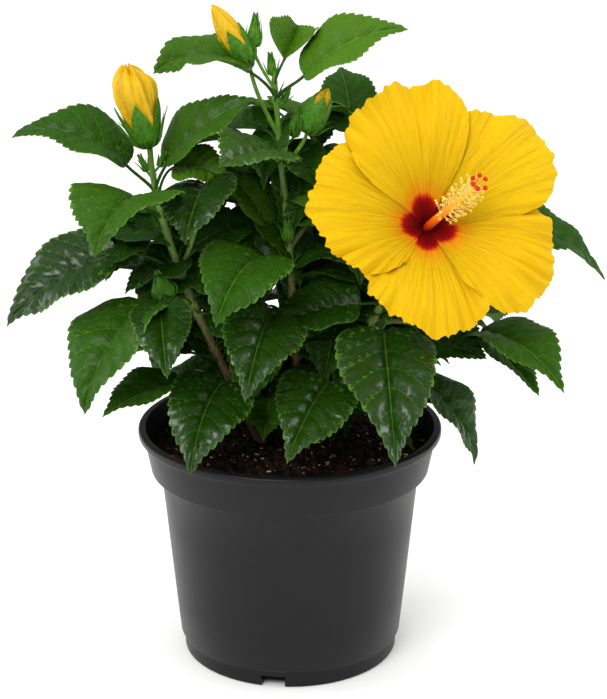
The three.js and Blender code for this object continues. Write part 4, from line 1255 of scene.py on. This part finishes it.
class PetalOutline:
    """A petal's margin: the turn and reach at every place across it."""

    def __init__(self, outline):
        turns, reaches = np.array(outline, float).T
        self.middle, self.half = (turns[0] + turns[-1]) / 2, (turns[-1] - turns[0]) / 2
        self.shares = np.linspace(-1, 1, 241)
        fine = np.interp(self.middle + self.half * self.shares, turns, reaches)
        window = np.hanning(17)
        padded = np.pad(fine, 8, mode="reflect", reflect_type="odd")
        self.reaches = np.convolve(padded, window / window.sum(), mode="valid")

    def reach(self, across):
        return float(np.interp(across, self.shares, self.reaches))


def petal_point(bloom, outline, sides, s, t, phase):
    """A petal's place at s across (-1 to 1) and t out from the throat (0 to 1), in millimetres,
    with the mark that its colours read."""
    radius, depth, throat = (value / MM for value in (bloom.radius, bloom.depth, bloom.throat))
    scallop = sum(height * noise.noise(Vector((s * outline.half * rate, phase, start)))
                  for height, rate, start in SCALLOPS)
    margin = outline.reach(s) + scallop
    widen = 1 - min(1.0, t * margin / 22.0)
    turned = s * (outline.half * (1 - widen) + BASE_HALF * widen)
    turn = math.radians(outline.middle + turned)
    tube = max(0.0, 1 - t / 0.12)
    away = throat + (margin - throat) * (max(0.0, t - 0.06) / 0.94) ** 1.02 - 1.4 * tube
    share = away / radius
    rise = depth * (1 - max(0.0, 1 - share * 0.95) ** 2.4) - 3.6 * tube ** 1.3
    arc_place = turned * share  # how far round the dish, so that folds keep their width
    ruffle = 2.2 * t ** 3.5 * share * math.sin(0.30 * turned + 1.7 * phase)
    ruffle += 4.2 * t ** 5 * noise.noise(Vector((turned * 0.24, phase, 2.0)))
    ruffle += 4.0 * share ** 1.6 * noise.noise(Vector((turned * 0.055, share * 2.2, phase)))
    recurve = -5.5 * max(0.0, share - 0.7) ** 1.5 / 0.3 ** 1.5
    pleat = 1.5 * share ** 0.8 * noise.noise(Vector((turned * 0.16, share * 1.4, phase + 5)))
    pleat += 0.95 * share ** 0.6 * noise.noise(Vector((turned * 0.42, share * 2.4, phase + 9)))
    pleat += 0.3 * noise.noise(Vector((arc_place * 1.1, share * 7, phase + 2)))
    side = sides[0] if s < 0 else sides[1]
    over = side * 3.0 * max(0.0, abs(s) - 0.3) / 0.7 * (0.3 + 0.7 * share)
    crown = 2.2 * (1 - s * s) * math.sin(math.pi * min(1.0, share))
    rise += ruffle + recurve + pleat + over + crown
    point = (THROAT + BLOOM_AXIS * rise
             + away * (BLOOM_ACROSS * math.cos(turn) + BLOOM_UP * math.sin(turn)))
    return point, (share, min(1.0, abs(turned) / 36.0), math.degrees(turn) * 0.42 + phase)


class HIBISCUS_OT_bloom(bpy.types.Operator):
    """Shape the open bloom: five ruffled overlapping petals, the column, stamens, pads and calyx"""
    bl_idname = "hibiscus.bloom"
    bl_label = "Open bloom"

    def execute(self, context):
        bloom = settings(context, "bloom")
        self.petals(context, bloom)
        self.column(context, bloom)
        self.calyx(context)
        return {"FINISHED"}

    @staticmethod
    def petals(context, bloom):
        bm = bmesh.new()
        layer = bm.verts.layers.float_vector.new("marks")
        for number, (sides, corners) in enumerate(PETALS.values()):
            outline = PetalOutline(corners)
            made = bmesh.ops.create_grid(bm, x_segments=PETAL_COLUMNS, y_segments=PETAL_ROWS,
                                         size=1.0)["verts"]
            for v in made:
                place, mark = petal_point(bloom, outline, sides, v.co.x, (v.co.y + 1) / 2, 1.0 + 2.3 * number)
                v.co = Vector(place) * MM
                v[layer] = mark
        bmesh.ops.solidify(bm, geom=bm.faces, thickness=bloom.thickness)
        mesh = to_mesh(bm, "bloom_petals", 75)
        finish_piece("bloom_petals", mesh, [petal_material(context)], ["bloom"])

    @staticmethod
    def column(context, bloom):
        """The column of joined stamens, with its threads, anthers and pads."""
        start = THROAT - BLOOM_AXIS * 6
        tip = THROAT + BLOOM_AXIS * 3 + heading_vector(*COLUMN_TURN) * COLUMN_REACH
        corners = (start, start + BLOOM_AXIS * 16, tip - unit(tip - start) * 22, tip)
        shares = np.linspace(0, 1, 60)
        points, _ = bezier(corners, shares)
        radii = COLUMN_RADIUS - COLUMN_TAPER * shares
        bm = bmesh.new()
        sweep(bm, points * MM, radii * MM, 20)
        mesh = to_mesh(bm, "stamen_column", 60)
        mark_along(mesh, points * MM, shares)
        finish_piece("stamen_column", mesh, [column_material()], ["bloom_column"])
        rng = np.random.default_rng(SEEDS["stamens"])
        threads = Heap()
        for k in range(bloom.stamens):
            share = FIRST_STAMEN + STAMEN_SPAN * (k + 0.5) / bloom.stamens
            (place,), (run,) = bezier(corners, share)
            out = spokes(run)(k * GOLDEN + rng.normal(0, 0.15))
            length = rng.uniform(5.0, 8.0)
            steps = np.linspace(0, 1, 5)[:, None]
            thread = place + out * length * steps + run * length * (0.25 * steps + 0.35 * steps ** 2)
            add_tube(threads, thread, 0.2, 5, kinds=0)
            add_ball(threads, thread[-1], unit(out + rng.normal(0, 0.4, 3)), 0.62, 1.7, kinds=1)
        (end,), (run,) = bezier(corners, 1.0)
        spoke = spokes(run)
        for k in range(PADS):
            out = spoke(k * 2 * math.pi / PADS + rng.normal(0, 0.12))
            steps = np.linspace(0, 1, 7)[:, None]
            length = rng.uniform(5.5, 7.0)
            style = end + out * 3.9 * steps ** 0.8 + run * length * steps
            add_tube(threads, style, 0.42, 7, kinds=2)
            add_ball(threads, style[-1], unit(run + 0.3 * out), 1.35, 2.1, kinds=3, sides=12, rings=7)
        plain = [("pale_stamen_thread", "#fbd98a", 0.5), ("pollen_anther", "#f6cf52", 0.8),
                 ("orange_style", "#fb9a3c", 0.5), ("velvet_stigma", "#c8330a", 0.85)]
        materials = [soft_green(name, linear(colour), rough, 1.0) for name, colour, rough in plain]
        finish_piece("stamens_and_pads", threads.mesh("stamens_and_pads", 60), materials)

    @staticmethod
    def calyx(context):
        """The green cup behind the bloom, with five pointed sepals and a ring of narrow bracts."""
        def surface(along):
            return 6.0 * min(1.0, (along / 6.0 + 0.03) ** 0.6) + 0.07 * max(0.0, along - 8)

        heap = Heap()
        add_cup(heap, CALYX_BASE, BLOOM_AXIS, CALYX_LENGTH + 6.0, surface, 0.4)
        rng = np.random.default_rng(SEEDS["bracts"])
        add_bracts(heap, CALYX_BASE, BLOOM_AXIS, 15.0, surface, 5.0, 8, rng)
        green = soft_green("sepal_skin", linear("#5a8f2c"), 0.55)
        finish_piece("bloom_sepals", heap.mesh("bloom_sepals", 60), [green], ["bloom_calyx"])


# ---------------------------------------------------------------- sepals, bracts and buds


def add_cup(heap, base, axis, length, radius_at, phase, valley=0.42):
    """Add a calyx: a closed cup whose rim runs out into five pointed sepals, with a thin wall. The
    radius at each height is that of what it holds."""
    spoke = spokes(axis)
    sides, rows, wall = 80, 20, 0.45
    outer, inner = [], []
    for i in range(rows):
        t = i / (rows - 1)
        for j in range(sides):
            turn = j * 2 * math.pi / sides
            lobe = abs(((turn * 5 / (2 * math.pi) + phase) % 1.0) * 2 - 1)
            along = length * t * (valley + (1 - valley) * (1 - lobe) ** 0.8)
            held = radius_at(along)
            keel = 0.35 * max(0.0, 1 - lobe * 5) - 0.2 * max(0.0, lobe - 0.7)
            lift = 0.15 + 0.5 * (along / length) ** 3
            out = spoke(turn)
            outer.append(base + axis * along + out * (held + lift + wall + keel))
            inner.append(base + axis * (along + (0.0 if i else wall)) + out * max(0.05, held + lift))
    points = np.array(outer + inner + [base - axis * 0.3, base + axis * wall])
    faces = []
    count = rows * sides
    for j in range(sides):
        k = (j + 1) % sides
        for i in range(rows - 1):
            a = i * sides
            faces.append([a + j, a + k, a + sides + k, a + sides + j])
            faces.append([count + a + k, count + a + j, count + a + sides + j, count + a + sides + k])
        rim = (rows - 1) * sides
        faces.append([rim + j, rim + k, count + rim + k, count + rim + j])
        faces.append([2 * count, k, j])
        faces.append([2 * count + 1, count + j, count + k])
    heap.add(points, faces)


def add_bracts(heap, base, axis, length, surface, spread, count, rng, thick=0.6):
    """Add a ring of narrow pointed bracts that rise along a calyx and hook away from it. The surface
    gives the radius of what they stand round at each height."""
    spoke = spokes(axis)
    for k in range(count):
        out = spoke(k * 2 * math.pi / count + rng.normal(0, 0.1))
        steps = np.linspace(0, 1, 11)[:, None]
        reach, lean = length * rng.uniform(0.8, 1.15), spread * rng.uniform(0.4, 1.5)
        held = np.array([surface(reach * step) for step in steps[:, 0]])[:, None]
        points = (base + out * (held + 1.0 + lean * steps ** 2)
                  + axis * reach * (steps ** 1.1 - 0.15 * steps ** 3))
        points[0] = base
        add_tube(heap, points, thick * (1 - steps[:, 0]) ** 0.7 + 0.1, 7)


def bud_radius(bud, along):
    """A bud's radius at a height in millimetres: a round foot, widest part way up, closing to its tip."""
    share = min(1.0, max(0.0, along / bud["length"]))
    widest, foot = bud.get("widest", 0.36), bud.get("foot", 0.7)
    rounded = min(1.0, share / 0.1) ** 0.5
    swell = foot + (1 - foot) * math.sin(0.5 * math.pi * min(1.0, share / widest))
    closing = 1 - max(0.0, (share - widest) / (1 - widest)) ** bud["blunt"]
    return bud["radius"] * rounded * swell * closing ** bud.get("point", 0.75)


def add_green_bud(heap, base, axis, bud, rng):
    """Add a bud that its sepals still close over."""
    bud = dict(bud, radius=bud["radius"] - 0.7)
    points = base + axis * bud["length"] * np.linspace(0.03, 0.97, 14)[:, None]
    radii = [bud_radius(bud, bud["length"] * share) for share in np.linspace(0.03, 0.97, 14)]
    add_tube(heap, points, np.array(radii) + 0.1, 20)
    add_cup(heap, base, axis, bud["length"], lambda along: bud_radius(bud, along), 0.5, 0.5)
    add_bracts(heap, base, axis, bud["length"] * 0.8, partial(bud_radius, bud), 2.8, 5, rng, 0.45)


class HIBISCUS_OT_buds(bpy.types.Operator):
    """Roll the furled petals of each bud and set them in sepals and bracts"""
    bl_idname = "hibiscus.buds"
    bl_label = "Buds"

    def execute(self, context):
        furled = furled_material(tuple(settings(context, "bloom").petal))
        green = soft_green("bud_sepal_skin", linear("#44781a"), 0.5)
        rng = np.random.default_rng(SEEDS["buds"])
        for name, bud in BUDS.items():
            axis = heading_vector(bud["heading"], bud["pitch"])
            base = CURVES[bud["on"]][3] + axis * 0.3
            heap = Heap()
            if bud["petals"]:
                self.furl(name, bud, base, axis, furled)
                surface = partial(bud_radius, bud)
                add_cup(heap, base, axis, bud["length"] * bud["cover"], surface, 0.5, bud["split"])
                add_bracts(heap, base, axis, bud["length"] * 0.46, surface, bud["radius"] * 0.5, 9, rng)
            else:
                add_green_bud(heap, base, axis, bud, rng)
            replaced = [] if bud["petals"] else [name]
            finish_piece(name + "_sepals", heap.mesh(name + "_sepals", 60), [green], replaced)
        young = Heap()
        for limb, at, stalk, length, radius, lean in YOUNG_BUDS:
            node, run, base = leaf_base(limb, at, stalk)
            axis = heading_vector(*lean)
            leaf_stalk(young, node, run, base, axis, 0.8)
            add_green_bud(young, base, axis, dict(length=length, radius=radius, blunt=1.1, point=1.1), rng)
        finish_piece("young_buds", young.mesh("young_buds", 60), [green])
        return {"FINISHED"}

    @staticmethod
    def furl(name, bud, base, axis, material):
        """Twist a ball into furled petals whose edges overlap along the bud."""
        spoke = spokes(axis)
        bm = bmesh.new()
        layer = bm.verts.layers.float_vector.new("marks")
        for v in bmesh.ops.create_uvsphere(bm, u_segments=120, v_segments=72, radius=1.0)["verts"]:
            share = 1 - math.acos(max(-1.0, min(1.0, v.co.z))) / math.pi
            turn = math.atan2(v.co.y, v.co.x)
            fold = ((turn / (2 * math.pi)) * 5 + 0.3 * share + 0.3) % 1.0
            edge = 0.12 * fold ** 2.2 * min(1.0, share * 3)
            spot = Vector((math.cos(turn) * 2.2, math.sin(turn) * 2.2, share * 2.0 + bud["length"]))
            wrinkle = (0.16 * noise.noise(spot)
                       + 0.1 * noise.noise(Vector((spot.x * 3.1, spot.y * 3.1, spot.z * 0.6))))
            radius = bud_radius(bud, bud["length"] * share) * (0.89 + edge + wrinkle * min(1.0, share * 2))
            crumple = bud["length"] * 0.16 * noise.noise(spot * 1.3) * share ** 4 * (bud["blunt"] - 1) / 2.6
            rise = bud["length"] * (0.03 + 0.96 * share) + crumple
            v.co = Vector(base + axis * rise + spoke(turn) * radius) * MM
            v[layer] = (share, fold, turn)
        mesh = to_mesh(bm, name + "_petals", 40)
        finish_piece(name + "_petals", mesh, [material], [name])


# ---------------------------------------------------------------- stage


# Softboxes: place, target and size in metres, watts, and whether they show as reflections.
LIGHTS = {
    "overhead_softbox": ((0, 1.0, 2.6), (0, 1.0, 0), (8.0, 8.0), 265, False),
    "key_softbox": ((-0.5, -1.2, 1.25), (0, 0, 0.22), (0.9, 0.9), 15, True),
    "left_softbox": ((-1.5, 0.1, 0.5), (0, 0, 0.15), (0.5, 1.3), 6, True),
    "right_softbox": ((1.5, 0.1, 0.5), (0, 0, 0.15), (0.5, 1.3), 6, True),
}
CAMERA_PLACE = (0.0074, -1.0214, 0.5142)
CAMERA_TILT = 71.47  # degrees up from straight down


def area_light(name, place, target, size, watts, mirrored):
    lamp = bpy.data.lights.new(name, "AREA")
    lamp.shape, lamp.size, lamp.size_y = "RECTANGLE", size[0], size[1]
    lamp.energy = watts
    light = bpy.data.objects.new(name, lamp)
    light.location = place
    light.visible_glossy = mirrored
    light.rotation_euler = (Vector(target) - Vector(place)).to_track_quat("-Z", "Y").to_euler()
    bpy.context.scene.collection.objects.link(light)


class HIBISCUS_OT_stage(bpy.types.Operator):
    """Set the pale floor, the soft studio lights and the camera"""
    bl_idname = "hibiscus.stage"
    bl_label = "Stage"

    def execute(self, context):
        stage = settings(context, "stage")
        bm = bmesh.new()
        bmesh.ops.create_grid(bm, x_segments=1, y_segments=1, size=9.0)
        mesh = bpy.data.meshes.new("studio_floor")
        bm.to_mesh(mesh)
        bm.free()
        floor = bpy.data.objects.new("studio_floor", mesh)
        floor.location.z = -0.0002
        mesh.materials.append(Skin("studio_paper", roughness=0.9, base_color=stage.floor).material)
        context.scene.collection.objects.link(floor)
        world = bpy.data.worlds.new("studio")
        world.use_nodes = True
        background = world.node_tree.nodes["Background"].inputs
        background["Color"].default_value = (1, 1, 1, 1)
        background["Strength"].default_value = 0.3
        context.scene.world = world
        for name, light in LIGHTS.items():
            area_light(name, *light)
        camera = bpy.data.cameras.new("camera")
        camera.sensor_width, camera.lens = 36.0, 103.0
        camera.clip_start, camera.clip_end = 0.05, 60
        eye = bpy.data.objects.new("camera", camera)
        eye.location = CAMERA_PLACE
        eye.rotation_euler = (math.radians(CAMERA_TILT), 0, 0)
        context.scene.collection.objects.link(eye)
        context.scene.camera = eye
        context.scene.view_settings.view_transform = "Standard"
        return {"FINISHED"}


# ---------------------------------------------------------------- add-on

OPERATORS = [HIBISCUS_OT_stage, HIBISCUS_OT_pot, HIBISCUS_OT_mix, HIBISCUS_OT_limbs, HIBISCUS_OT_leaves,
             HIBISCUS_OT_bloom, HIBISCUS_OT_buds]


class HIBISCUS_PT_panel(bpy.types.Panel):
    """Lists the hibiscus pieces and their sizes in the sidebar"""
    bl_idname = "HIBISCUS_PT_panel"
    bl_label = "Potted hibiscus"
    bl_space_type = "VIEW_3D"
    bl_region_type = "UI"
    bl_category = "Hibiscus"

    def draw(self, context):
        for operator in OPERATORS:
            self.layout.operator(operator.bl_idname)
        for group, kind in SETTINGS.items():
            box = self.layout.box()
            box.label(text=group.title())
            for prop in kind.__annotations__:
                box.prop(settings(context, group), prop)


def register():
    for kind in [*SETTINGS.values(), *OPERATORS, HIBISCUS_PT_panel]:
        bpy.utils.register_class(kind)
    for group, kind in SETTINGS.items():
        setattr(bpy.types.Scene, "hibiscus_" + group, PointerProperty(type=kind))


def unregister():
    for group in SETTINGS:
        delattr(bpy.types.Scene, "hibiscus_" + group)
    for kind in reversed([*SETTINGS.values(), *OPERATORS, HIBISCUS_PT_panel]):
        bpy.utils.unregister_class(kind)


def main():
    register()
    for operator in OPERATORS:
        getattr(bpy.ops.hibiscus, operator.bl_idname.split(".")[1])()


if __name__ == "__main__":
    main()
